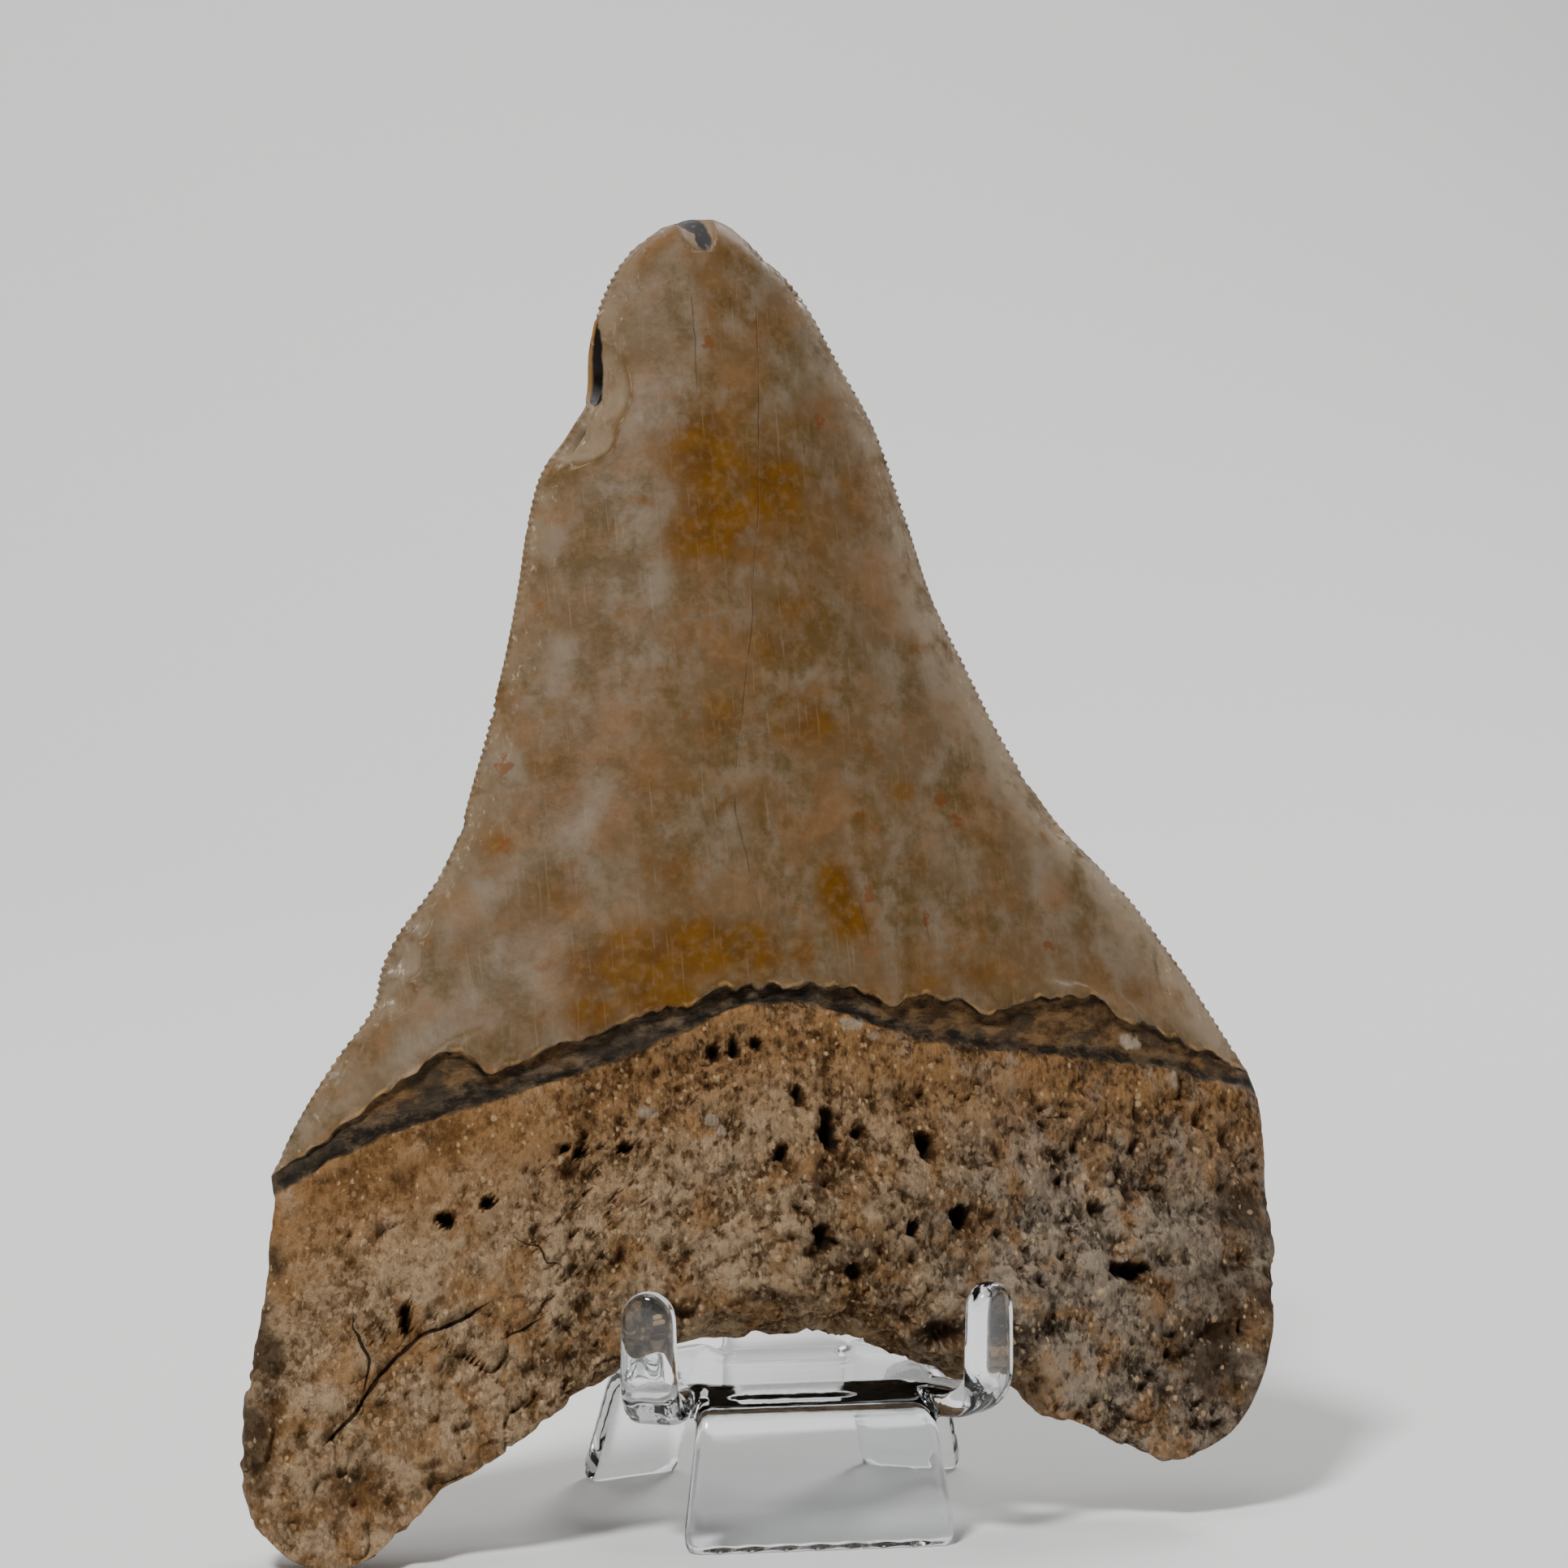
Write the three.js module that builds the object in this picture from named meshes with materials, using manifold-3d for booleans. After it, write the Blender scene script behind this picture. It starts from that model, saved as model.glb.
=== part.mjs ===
import * as THREE from 'three';
import { mergeVertices } from 'three/addons/utils/BufferGeometryUtils.js';
import Module from 'manifold-3d';

// Megalodon tooth, tip up, leaning back on a clear moulded stand.
// Millimetres, +Z up, the shown (lingual) face towards -Y.

const wasm = await Module();
wasm.setup();

// Driving dimensions
const LEAN = THREE.MathUtils.degToRad(14);
const SEAT_HEIGHT = 13.2;
const BASE_FORWARD = 8.0;
const TORUS_DEPTH = 12.0;
const LOBE_DEPTH = 8.4;
const ROOT_BACK = 6.2;
const CROWN_DEPTH = 10.6;
const CROWN_TIP_DEPTH = 4.2;
const CROWN_BACK = 4.8;
const CROWN_TIP_BACK = 2.2;
const LEDGE = 0.8;

const PLATE = 2.7;
const EDGE_ROUND = 1.0;
const HUB_TOP = 13.6;
const HUB_WIDTH = 24.4;
const HUB_FRONT = -5.5;
const HUB_REAR = 8.0;
const STAND_TURN = THREE.MathUtils.degToRad(-5.5);
const STAND_AT = [-1.6, -1.6];
const PRONG_WIDTH = 4.8;
const PRONG_HEIGHT = 9.7;
const PRONG_TURN = 32;
const PRONG_X = 15.2;
const PRONG_Y = -10.2;
const BACKREST_WIDTH = 11.0;
const BACKREST_HEIGHT = 11.5;
const BACKREST_Y = 12.0;

// Outline of the tooth in its own plane: x to the right, s up along the tooth,
// both from the middle of the seat.
const LEFT_ROOT = [
  [-46.7, -15.4], [-49.4, -14.4], [-52.3, -11.6], [-53.6, -7.5], [-53.2, -2.0],
  [-51.8, 3.5], [-50.1, 9.5], [-49.0, 15.0], [-48.6, 18.0],
];
const LEFT_CROWN = [
  [-48.7, 19.8], [-46.3, 24.3], [-42.7, 29.7], [-38.9, 34.6], [-38.0, 37.9], [-36.3, 41.1],
  [-33.2, 44.9], [-30.6, 49.2], [-28.7, 54.6], [-26.8, 60.5], [-24.9, 66.9], [-23.4, 73.2],
  [-22.2, 78.9], [-20.7, 83.4], [-18.1, 86.7], [-16.1, 90.2], [-15.5, 94.8], [-14.2, 99.4],
  [-11.4, 103.9], [-7.8, 106.6],
];
const TIP = [[-7.8, 106.6], [-4.5, 107.4], [-1.2, 106.6]];
const RIGHT_ROOT = [
  [32.4, -9.7], [36.8, -7.6], [39.7, -3.8], [41.8, 1.4], [43.7, 8.9], [43.9, 15.0],
  [44.2, 20.8], [43.9, 23.3],
];
const RIGHT_CROWN = [
  [43.2, 25.6], [40.5, 30.3], [37.0, 36.1], [32.7, 42.4], [26.1, 49.8], [21.5, 57.7],
  [18.5, 64.5], [15.7, 71.0], [13.7, 78.8], [11.4, 86.9], [8.5, 93.1], [4.7, 100.5],
  [1.7, 103.8], [-1.2, 106.6],
];
const ARCH = [
  [-46.7, -15.4], [-43.7, -14.7], [-39.7, -11.7], [-36.6, -9.4], [-30.3, -5.6], [-25.2, -2.2],
  [-19.3, 0.8], [-13.6, 2.7], [-8.0, 3.6], [-2.7, 4.0], [3.3, 2.9], [9.8, -0.3], [16.2, -2.0],
  [19.5, -4.4], [23.8, -7.2], [28.0, -9.2], [32.4, -9.7],
];

// Lower edge of the enamel and upper edge of the root, with the bourlette between them
const ENAMEL_EDGE = [
  [-48.7, 19.8], [-42.3, 23.8], [-36.0, 28.3], [-34.2, 29.5], [-31.7, 29.1], [-30.2, 27.7],
  [-26.8, 28.6], [-23.2, 29.9], [-17.4, 31.6], [-12.2, 32.9], [-10.0, 33.8], [-1.4, 34.1],
  [3.0, 33.2], [7.0, 32.2], [11.0, 32.8], [16.9, 31.1], [20.2, 32.1], [24.8, 32.7],
  [28.8, 31.1], [34.6, 28.6], [43.2, 25.6],
];
const ROOT_EDGE = [
  [-48.6, 18.0], [-43.1, 20.9], [-36.2, 23.4], [-29.8, 25.1], [-23.4, 26.7], [-17.5, 28.6],
  [-12.3, 30.6], [-8.5, 32.2], [-1.6, 32.3], [3.7, 30.8], [8.4, 29.1], [14.6, 28.1],
  [22.7, 27.1], [31.0, 26.1], [36.0, 25.2], [43.9, 23.3],
];

// Pits in the root: x, s, half width, half height
const PITS = [
  [-10.3, 29.2, 0.6, 1.0], [-8.3, 29.8, 0.6, 1.0], [-6.3, 29.9, 0.6, 0.8], [-2.9, 25.1, 0.6, 1.0],
  [-0.3, 21.7, 1.0, 2.3], [-4.6, 20.0, 0.9, 0.9], [8.9, 20.1, 1.1, 1.3], [-22.9, 21.0, 0.7, 0.7],
  [-18.9, 21.1, 0.7, 0.6], [-35.3, 15.4, 0.8, 0.9], [-31.6, 16.7, 0.8, 0.8], [11.7, 13.3, 1.3, 1.4],
  [7.3, 12.4, 0.8, 0.9], [1.2, 8.8, 0.8, 0.9], [-1.5, 12.1, 0.9, 1.3], [27.9, 7.6, 2.0, 0.9],
  [-39.2, 6.9, 0.7, 1.7],
];
const PIT_DEPTH = 1.5;

// Cracks across the long root lobe
const CRACKS = [
  [[-47.3, -4.1], [-43.9, -1.1], [-40.1, 3.7], [-37.6, 5.6], [-32.2, 7.6]],
  [[-44.0, 7.5], [-43.1, 3.2], [-43.7, -0.6]],
];
const CRACK_WIDTH = 0.8;
const CRACK_DEPTH = 2.2;

// Chips out of the cutting edge and the tip: x, s, half width, half height, half depth
const CHIPS = [
  [-17.6, 88.4, 2.2, 4.2, 2.2],
  [-38.0, 38.0, 2.6, 4.8, 2.0],
  [-4.0, 106.4, 1.2, 2.6, 2.0],
  [4.9, 101.2, 0.9, 1.6, 1.6],
];

const ROOT_ROWS = 13;
const CROWN_ROWS = 24;
const COLUMNS = 34;

const smooth = THREE.MathUtils.smoothstep;
const lerp = THREE.MathUtils.lerp;

function toManifold(geometry) {
  const bare = geometry.clone();
  bare.deleteAttribute('normal');
  bare.deleteAttribute('uv');
  const merged = mergeVertices(bare, 1e-5);
  return new wasm.Manifold(new wasm.Mesh({
    numProp: 3,
    vertProperties: new Float32Array(merged.attributes.position.array),
    triVerts: new Uint32Array(merged.index.array),
  }));
}

function toGeometry(solid) {
  const mesh = solid.getMesh();
  const geometry = new THREE.BufferGeometry();
  geometry.setAttribute('position', new THREE.BufferAttribute(new Float32Array(mesh.vertProperties), 3));
  geometry.setIndex(new THREE.BufferAttribute(new Uint32Array(mesh.triVerts), 1));
  geometry.computeVertexNormals();
  return geometry;
}

function fromGrid(points, triangles) {
  const geometry = new THREE.BufferGeometry();
  geometry.setAttribute('position', new THREE.Float32BufferAttribute(points.flat(), 3));
  geometry.setIndex(triangles);
  return geometry;
}

function line(points) {
  const knots = points.map(([x, s]) => new THREE.Vector3(x, 0, s));
  return new THREE.CatmullRomCurve3(knots, false, 'centripetal');
}

// Point of the patch between two edge lines and two side lines
function patch(low, high, left, right, u, w) {
  const a = low.getPointAt(u);
  const b = high.getPointAt(u);
  const l = left.getPointAt(w);
  const r = right.getPointAt(w);
  const mix = (k) => (1 - w) * a[k] + w * b[k] + (1 - u) * l[k] + u * r[k]
    - (1 - u) * lerp(low.getPointAt(0)[k], high.getPointAt(0)[k], w)
    - u * lerp(low.getPointAt(1)[k], high.getPointAt(1)[k], w);
  return [mix('x'), mix('z')];
}

// Depth of the shown face and of the back face from the tooth's own plane, and how full the
// tooth is at that place: none at its outline, all of it in the middle
function depths(x, s, u, zone, w) {
  const a = Math.abs(2 * u - 1);
  let crownness = 1;
  if (zone === 'root') crownness = 0.7 * smooth(w, 0.6, 1);
  if (zone === 'band') crownness = 0.7 + 0.15 * w;
  if (zone === 'crown') crownness = 0.85 + 0.15 * smooth(w, 0, 0.1);
  const blunt = Math.pow(Math.max(1 - Math.pow(a, 3.2), 0), 0.5);
  const lens = Math.pow(Math.max(1 - a * a, 0), 0.85);
  const across = lerp(blunt, lens, crownness);

  const torus = LOBE_DEPTH + (TORUS_DEPTH - LOBE_DEPTH) * Math.exp(-Math.pow(x / 19, 2));
  const rise = zone === 'crown' ? w : 0;
  const crownFront = lerp(CROWN_DEPTH, CROWN_TIP_DEPTH, rise);
  const crownBack = lerp(CROWN_BACK, CROWN_TIP_BACK, rise);
  let front = lerp(torus, crownFront, crownness) * across;
  let back = lerp(ROOT_BACK, crownBack, crownness) * across;
  let full = across;

  if (zone === 'root') {
    const under = 1 - Math.min(w / 0.42, 1);
    const roll = Math.sqrt(1 - under * under);
    front *= roll;
    back *= roll;
    full *= roll;
    const lumps = Math.sin(0.33 * x + 1.1) * Math.sin(0.29 * s + 0.4) + 0.6 * Math.sin(0.21 * x - 0.4 * s);
    front += 0.45 * lumps * across * roll * (1 - w);
  }
  if (zone === 'band') front -= LEDGE * (1 - Math.pow(a, 6)) * (w > 0.9 ? 0 : 1) * (w < 0.1 ? 0.4 : 1);
  if (zone === 'crown') {
    const end = Math.max((w - 0.93) / 0.07, 0);
    const roll = Math.sqrt(Math.max(1 - end * end, 0));
    front *= roll;
    back *= roll;
  }
  return [front, back, full];
}

function toothSolid() {
  const arch = line(ARCH);
  const rootEdge = line(ROOT_EDGE);
  const enamelEdge = line(ENAMEL_EDGE);
  const tip = line(TIP);
  const leftBand = line([LEFT_ROOT.at(-1), LEFT_CROWN[0]]);
  const rightBand = line([RIGHT_ROOT.at(-1), RIGHT_CROWN[0]]);

  const rows = [];
  for (let j = 0; j < ROOT_ROWS; j++) {
    const w = Math.pow(j / ROOT_ROWS, 1.25);
    rows.push(['root', w, arch, rootEdge, line(LEFT_ROOT), line(RIGHT_ROOT)]);
  }
  for (const w of [0, 0.45, 0.85]) rows.push(['band', w, rootEdge, enamelEdge, leftBand, rightBand]);
  for (let j = 0; j <= CROWN_ROWS; j++) {
    const w = 1 - Math.pow(1 - j / CROWN_ROWS, 1.12);
    rows.push(['crown', w, enamelEdge, tip, line(LEFT_CROWN), line(RIGHT_CROWN)]);
  }

  const points = [];
  const front = [];
  const back = [];
  rows.forEach(([zone, w, low, high, left, right], j) => {
    front.push([]);
    back.push([]);
    for (let i = 0; i <= COLUMNS; i++) {
      const even = i / COLUMNS;
      const u = lerp(even, 0.5 - 0.5 * Math.cos(Math.PI * even), 0.45);
      const [x, s] = patch(low, high, left, right, u, w);
      const onEdge = i === 0 || i === COLUMNS || j === 0 || j === rows.length - 1;
      const [f, b, full] = onEdge ? [0, 0, 0] : depths(x, s, u, zone, w);
      const tipBack = s > 35 ? 1.5 * Math.pow((s - 35) / 70, 2) : 0;
      const bend = tipBack - BASE_FORWARD * (1 - smooth(s, -6, 16)) * (1 - full);
      front[j].push(points.push([x, bend - f, s]) - 1);
      back[j].push(onEdge ? front[j][i] : points.push([x, bend + b, s]) - 1);
    }
  });

  const triangles = [];
  for (let j = 0; j + 1 < rows.length; j++) {
    for (let i = 0; i < COLUMNS; i++) {
      const rising = (i < COLUMNS / 2) === (j < rows.length / 2);
      for (const [grid, turned] of [[front, false], [back, true]]) {
        const [p, q, r, t] = [grid[j][i], grid[j][i + 1], grid[j + 1][i + 1], grid[j + 1][i]];
        const pair = rising ? [[p, q, r], [p, r, t]] : [[p, q, t], [q, r, t]];
        for (const [k, l, m] of pair) triangles.push(...(turned ? [k, m, l] : [k, l, m]));
      }
    }
  }

  // Depth of the shown face at a place, from the nearest points of its mesh
  const shown = front.flat().map((k) => points[k]);
  const faceAt = (x, s) => {
    const near = shown.map((p) => [Math.hypot(p[0] - x, p[2] - s) + 0.01, p[1]]);
    near.sort((p, q) => p[0] - q[0]);
    const four = near.slice(0, 4);
    const weight = four.reduce((sum, p) => sum + 1 / p[0], 0);
    return four.reduce((sum, p) => sum + p[1] / p[0], 0) / weight;
  };

  let solid = toManifold(fromGrid(points, triangles));
  for (const [x, s, halfWide, halfHigh] of PITS) {
    const pit = new THREE.SphereGeometry(1, 8, 6);
    pit.scale(halfWide, PIT_DEPTH, halfHigh);
    pit.translate(x, faceAt(x, s), s);
    solid = solid.subtract(toManifold(pit));
  }
  for (const crack of CRACKS) {
    for (let k = 0; k + 1 < crack.length; k++) {
      const [[x0, s0], [x1, s1]] = [crack[k], crack[k + 1]];
      const [x, s] = [(x0 + x1) / 2, (s0 + s1) / 2];
      const groove = new THREE.BoxGeometry(Math.hypot(x1 - x0, s1 - s0) + 0.3, CRACK_DEPTH, CRACK_WIDTH);
      groove.rotateY(-Math.atan2(s1 - s0, x1 - x0));
      groove.translate(x, faceAt(x, s), s);
      solid = solid.subtract(toManifold(groove));
    }
  }
  for (const [x, s, halfWide, halfHigh, halfDeep] of CHIPS) {
    const chip = new THREE.SphereGeometry(1, 10, 7);
    chip.scale(halfWide, halfDeep, halfHigh);
    chip.translate(x, faceAt(x, s) - 0.35 * halfDeep, s);
    solid = solid.subtract(toManifold(chip));
  }
  return solid;
}

// Rounded rectangle across a strip of the stand
function section(halfWide, halfThick) {
  const round = Math.min(EDGE_ROUND, halfThick * 0.75, halfWide * 0.75);
  const ring = [];
  for (const [sx, sy, from] of [[1, 1, 0], [-1, 1, 90], [-1, -1, 180], [1, -1, 270]]) {
    for (const step of [0, 45, 90]) {
      const angle = THREE.MathUtils.degToRad(from + step);
      ring.push([
        sx * (halfWide - round) + round * Math.cos(angle),
        sy * (halfThick - round) + round * Math.sin(angle),
      ]);
    }
  }
  return ring;
}

// Bent strip: out from the hub, round a bend of the given turn, then straight to a rounded end
function strip({ at, heading, flat, bend, turn, straight, widthIn, widthOut, endRound }) {
  const stations = [[0, 0, 0], [flat, 0, 0]];
  const steps = 7;
  const sign = Math.sign(turn);
  for (let k = 1; k <= steps; k++) {
    const angle = (Math.abs(turn) * k) / steps;
    stations.push([flat + bend * Math.sin(angle), sign * bend * (1 - Math.cos(angle)), sign * angle]);
  }
  const [r0, z0] = stations.at(-1);
  const ends = [0.5, 1 - endRound / straight];
  for (const k of [1, 2, 3, 4]) ends.push(1 - (endRound / straight) * (1 - Math.sin((k * Math.PI) / 8)));
  for (const k of ends) stations.push([r0 + straight * k * Math.cos(turn), z0 + straight * k * Math.sin(turn), turn]);

  let travelled = 0;
  const lengths = stations.map((p, k) => {
    if (k) travelled += Math.hypot(p[0] - stations[k - 1][0], p[1] - stations[k - 1][1]);
    return travelled;
  });
  const points = [];
  const rings = stations.map(([r, z, slope], k) => {
    const toEnd = travelled - lengths[k];
    let halfWide = lerp(widthIn, widthOut, lengths[k] / travelled) / 2;
    let halfThick = PLATE / 2;
    if (toEnd < endRound) {
      const fall = endRound - toEnd;
      halfWide -= endRound - Math.sqrt(Math.max(endRound * endRound - fall * fall, 0));
      halfWide = Math.max(halfWide, 0.5);
    }
    if (toEnd < EDGE_ROUND) {
      const fall = EDGE_ROUND - toEnd;
      halfThick -= 0.8 * (EDGE_ROUND - Math.sqrt(Math.max(EDGE_ROUND * EDGE_ROUND - fall * fall, 0)));
    }
    return section(halfWide, halfThick).map(([across, through]) => {
      const out = r - through * Math.sin(slope);
      const high = z + through * Math.cos(slope);
      const x = at[0] + out * Math.cos(heading) + across * Math.sin(heading);
      const y = at[1] + out * Math.sin(heading) - across * Math.cos(heading);
      return points.push([x, y, HUB_TOP - PLATE / 2 + high]) - 1;
    });
  });
  const triangles = [];
  const n = rings[0].length;
  for (let k = 0; k + 1 < rings.length; k++) {
    for (let i = 0; i < n; i++) {
      const [p, q] = [rings[k][i], rings[k][(i + 1) % n]];
      const [r, t] = [rings[k + 1][(i + 1) % n], rings[k + 1][i]];
      triangles.push(p, r, q, p, t, r);
    }
  }
  for (let i = 1; i + 1 < n; i++) {
    triangles.push(rings[0][0], rings[0][i], rings[0][i + 1]);
    triangles.push(rings.at(-1)[0], rings.at(-1)[i + 1], rings.at(-1)[i]);
  }
  const solid = toManifold(fromGrid(points, triangles));
  return solid.volume() > 0 ? solid : toManifold(fromGrid(points, triangles.toReversed()));
}

function hub() {
  const shape = new THREE.Shape();
  const [x, y0, y1, r] = [HUB_WIDTH / 2 - 1, HUB_FRONT + 1, HUB_REAR - 1, 3];
  shape.moveTo(-x + r, y0);
  shape.lineTo(x - r, y0);
  shape.absarc(x - r, y0 + r, r, -Math.PI / 2, 0);
  shape.lineTo(x, y1 - r);
  shape.absarc(x - r, y1 - r, r, 0, Math.PI / 2);
  shape.lineTo(-x + r, y1);
  shape.absarc(-x + r, y1 - r, r, Math.PI / 2, Math.PI);
  shape.lineTo(-x, y0 + r);
  shape.absarc(-x + r, y0 + r, r, Math.PI, 1.5 * Math.PI);
  const plate = new THREE.ExtrudeGeometry(shape, {
    depth: PLATE - 2, bevelThickness: 1, bevelSize: 1, bevelSegments: 2, curveSegments: 4,
  });
  plate.translate(0, 0, HUB_TOP - PLATE + 1);
  return toManifold(plate);
}

function standSolid() {
  const deg = THREE.MathUtils.degToRad;
  let solid = hub();
  for (const side of [-1, 1]) {
    const heading = deg(270 + PRONG_TURN * side + 8);
    const reach = 9;
    solid = solid.add(strip({
      at: [side * PRONG_X - reach * Math.cos(heading), PRONG_Y - reach * Math.sin(heading)],
      heading, flat: reach - 3.2, bend: 3.2, turn: deg(90), straight: PRONG_HEIGHT - 1.7,
      widthIn: PRONG_WIDTH + 0.8, widthOut: PRONG_WIDTH, endRound: PRONG_WIDTH / 2,
    }));
    solid = solid.add(strip({
      at: [side * 6.4, 3.5], heading: deg(90 - 23 * side), flat: 9.2, bend: 5, turn: deg(-66), straight: 11.6,
      widthIn: 8, widthOut: 10, endRound: 3,
    }));
  }
  solid = solid.add(strip({
    at: [0, 1], heading: deg(90), flat: BACKREST_Y - 1 - 4.6, bend: 4, turn: deg(78),
    straight: BACKREST_HEIGHT - 2.5, widthIn: BACKREST_WIDTH + 1, widthOut: BACKREST_WIDTH, endRound: 4.5,
  }));
  solid = solid.add(strip({
    at: [0, -1], heading: deg(270), flat: 3.6, bend: 4.5, turn: deg(-80), straight: 10,
    widthIn: 19.5, widthOut: 25, endRound: 3,
  }));
  const floor = new THREE.BoxGeometry(200, 200, 20);
  floor.translate(0, 0, -10);
  return solid.subtract(toManifold(floor));
}

const fossil = new THREE.MeshStandardMaterial({ color: 0x8c7c66, roughness: 0.5, metalness: 0 });
const clear = new THREE.MeshStandardMaterial({
  color: 0xe8eef0, roughness: 0.08, metalness: 0, transparent: true, opacity: 0.35,
});

const tooth = new THREE.Mesh(toGeometry(toothSolid()), fossil);
tooth.name = 'tooth';
tooth.rotation.x = -LEAN;
tooth.position.z = SEAT_HEIGHT;

const stand = new THREE.Mesh(toGeometry(standSolid()), clear);
stand.name = 'stand';
stand.rotation.z = STAND_TURN;
stand.position.set(STAND_AT[0], STAND_AT[1], 0);

const model = new THREE.Group();
model.name = 'megalodon_tooth_on_stand';
model.add(tooth, stand);

// The middle of the object's box stands over the origin, its feet on the floor
model.updateMatrixWorld(true);
const box = new THREE.Box3().setFromObject(model, true);
const middle = box.getCenter(new THREE.Vector3());
for (const piece of [tooth, stand]) piece.position.sub(new THREE.Vector3(middle.x, middle.y, box.min.z));

export default model;
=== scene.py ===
import math
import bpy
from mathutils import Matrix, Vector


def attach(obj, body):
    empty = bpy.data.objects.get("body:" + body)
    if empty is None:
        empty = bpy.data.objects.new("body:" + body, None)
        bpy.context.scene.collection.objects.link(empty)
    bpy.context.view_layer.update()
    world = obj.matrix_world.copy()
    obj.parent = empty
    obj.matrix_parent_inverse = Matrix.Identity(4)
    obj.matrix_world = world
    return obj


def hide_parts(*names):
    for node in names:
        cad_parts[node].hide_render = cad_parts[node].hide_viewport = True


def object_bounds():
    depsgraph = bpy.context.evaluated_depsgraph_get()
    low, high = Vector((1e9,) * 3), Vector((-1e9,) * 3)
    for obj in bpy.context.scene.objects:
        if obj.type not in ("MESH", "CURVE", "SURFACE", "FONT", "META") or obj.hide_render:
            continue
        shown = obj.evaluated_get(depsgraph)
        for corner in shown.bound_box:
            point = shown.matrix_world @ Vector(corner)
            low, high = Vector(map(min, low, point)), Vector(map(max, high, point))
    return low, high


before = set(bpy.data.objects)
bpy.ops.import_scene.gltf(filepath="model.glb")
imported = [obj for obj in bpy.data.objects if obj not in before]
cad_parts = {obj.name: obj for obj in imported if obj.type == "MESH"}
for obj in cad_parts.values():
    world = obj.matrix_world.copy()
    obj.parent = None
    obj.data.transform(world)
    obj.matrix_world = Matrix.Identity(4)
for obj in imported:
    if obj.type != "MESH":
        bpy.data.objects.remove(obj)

from types import SimpleNamespace

import bpy
import numpy as np
from mathutils import Vector

cad_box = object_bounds()
MM = 0.001

# The tooth in millimetres: x to the right, y away from the viewer, s up along the tooth
LEAN = math.radians(14)
SEAT = np.array([4.704, -6.768, 13.2])
BASE_FORWARD = 8.0
TORUS_DEPTH, TORUS_SPREAD, LOBE_DEPTH, ROOT_BACK = 12.0, 19, 8.4, 6.2
CROWN_DEPTH, CROWN_TIP_DEPTH = 10.6, 4.2
CROWN_BACK, CROWN_TIP_BACK = 4.8, 2.2
LEDGE = 0.8
BEND_DEPTH, BEND_START, BEND_LENGTH = 1.5, 35, 70
# Shapes of the cross-sections, and the shares of root and crown that roll under and over the tip
BLUNT, LENS = 3.2, 0.85
UNDERSIDE = 0.42
TIP_START, TIP_ROLL = 0.93, 0.07
# The cutting edge leans: its serrations are closer along s, and it is nearer than along x
SERRATION_PITCH = 0.75 * 0.9
SERRATION_DEPTH = 0.24
EDGE_LEAN = 0.88
EDGE_STRIP = 0.7

LEFT_ROOT = [
    (-46.7, -15.4), (-49.4, -14.4), (-52.3, -11.6), (-53.6, -7.5), (-53.2, -2.0),
    (-51.8, 3.5), (-50.1, 9.5), (-49.0, 15.0), (-48.6, 18.0)]
LEFT_CROWN = [
    (-48.7, 19.8), (-46.3, 24.3), (-42.7, 29.7), (-38.9, 34.6), (-38.0, 37.9), (-36.3, 41.1),
    (-33.2, 44.9), (-30.6, 49.2), (-28.7, 54.6), (-26.8, 60.5), (-24.9, 66.9), (-23.4, 73.2),
    (-22.2, 78.9), (-20.7, 83.4), (-18.1, 86.7), (-16.1, 90.2), (-15.5, 94.8), (-14.2, 99.4),
    (-11.4, 103.9), (-7.8, 106.6)]
TIP = [(-7.8, 106.6), (-4.5, 107.4), (-1.2, 106.6)]
RIGHT_ROOT = [
    (32.4, -9.7), (36.8, -7.6), (39.7, -3.8), (41.8, 1.4), (43.7, 8.9), (43.9, 15.0),
    (44.2, 20.8), (43.9, 23.3)]
RIGHT_CROWN = [
    (43.2, 25.6), (40.5, 30.3), (37.0, 36.1), (32.7, 42.4), (26.1, 49.8), (21.5, 57.7),
    (18.5, 64.5), (15.7, 71.0), (13.7, 78.8), (11.4, 86.9), (8.5, 93.1), (4.7, 100.5),
    (1.7, 103.8), (-1.2, 106.6)]
ARCH = [
    (-46.7, -15.4), (-43.7, -14.7), (-39.7, -11.7), (-36.6, -9.4), (-30.3, -5.6), (-25.2, -2.2),
    (-19.3, 0.8), (-13.6, 2.7), (-8.0, 3.6), (-2.7, 4.0), (3.3, 2.9), (9.8, -0.3), (16.2, -2.0),
    (19.5, -4.4), (23.8, -7.2), (28.0, -9.2), (32.4, -9.7)]
ENAMEL_EDGE = [
    (-48.7, 19.8), (-42.3, 23.8), (-36.0, 28.3), (-34.2, 29.5), (-31.7, 29.1), (-30.2, 27.7),
    (-26.8, 28.6), (-23.2, 29.9), (-17.4, 31.6), (-12.2, 32.9), (-10.0, 33.8), (-1.4, 34.1),
    (3.0, 33.2), (7.0, 32.2), (11.0, 32.8), (16.9, 31.1), (20.2, 32.1), (24.8, 32.7),
    (28.8, 31.1), (34.6, 28.6), (43.2, 25.6)]
ROOT_EDGE = [
    (-48.6, 18.0), (-43.1, 20.9), (-36.2, 23.4), (-29.8, 25.1), (-23.4, 26.7), (-17.5, 28.6),
    (-12.3, 30.6), (-8.5, 32.2), (-1.6, 32.3), (3.7, 30.8), (8.4, 29.1), (14.6, 28.1),
    (22.7, 27.1), (31.0, 26.1), (36.0, 25.2), (43.9, 23.3)]

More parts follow.
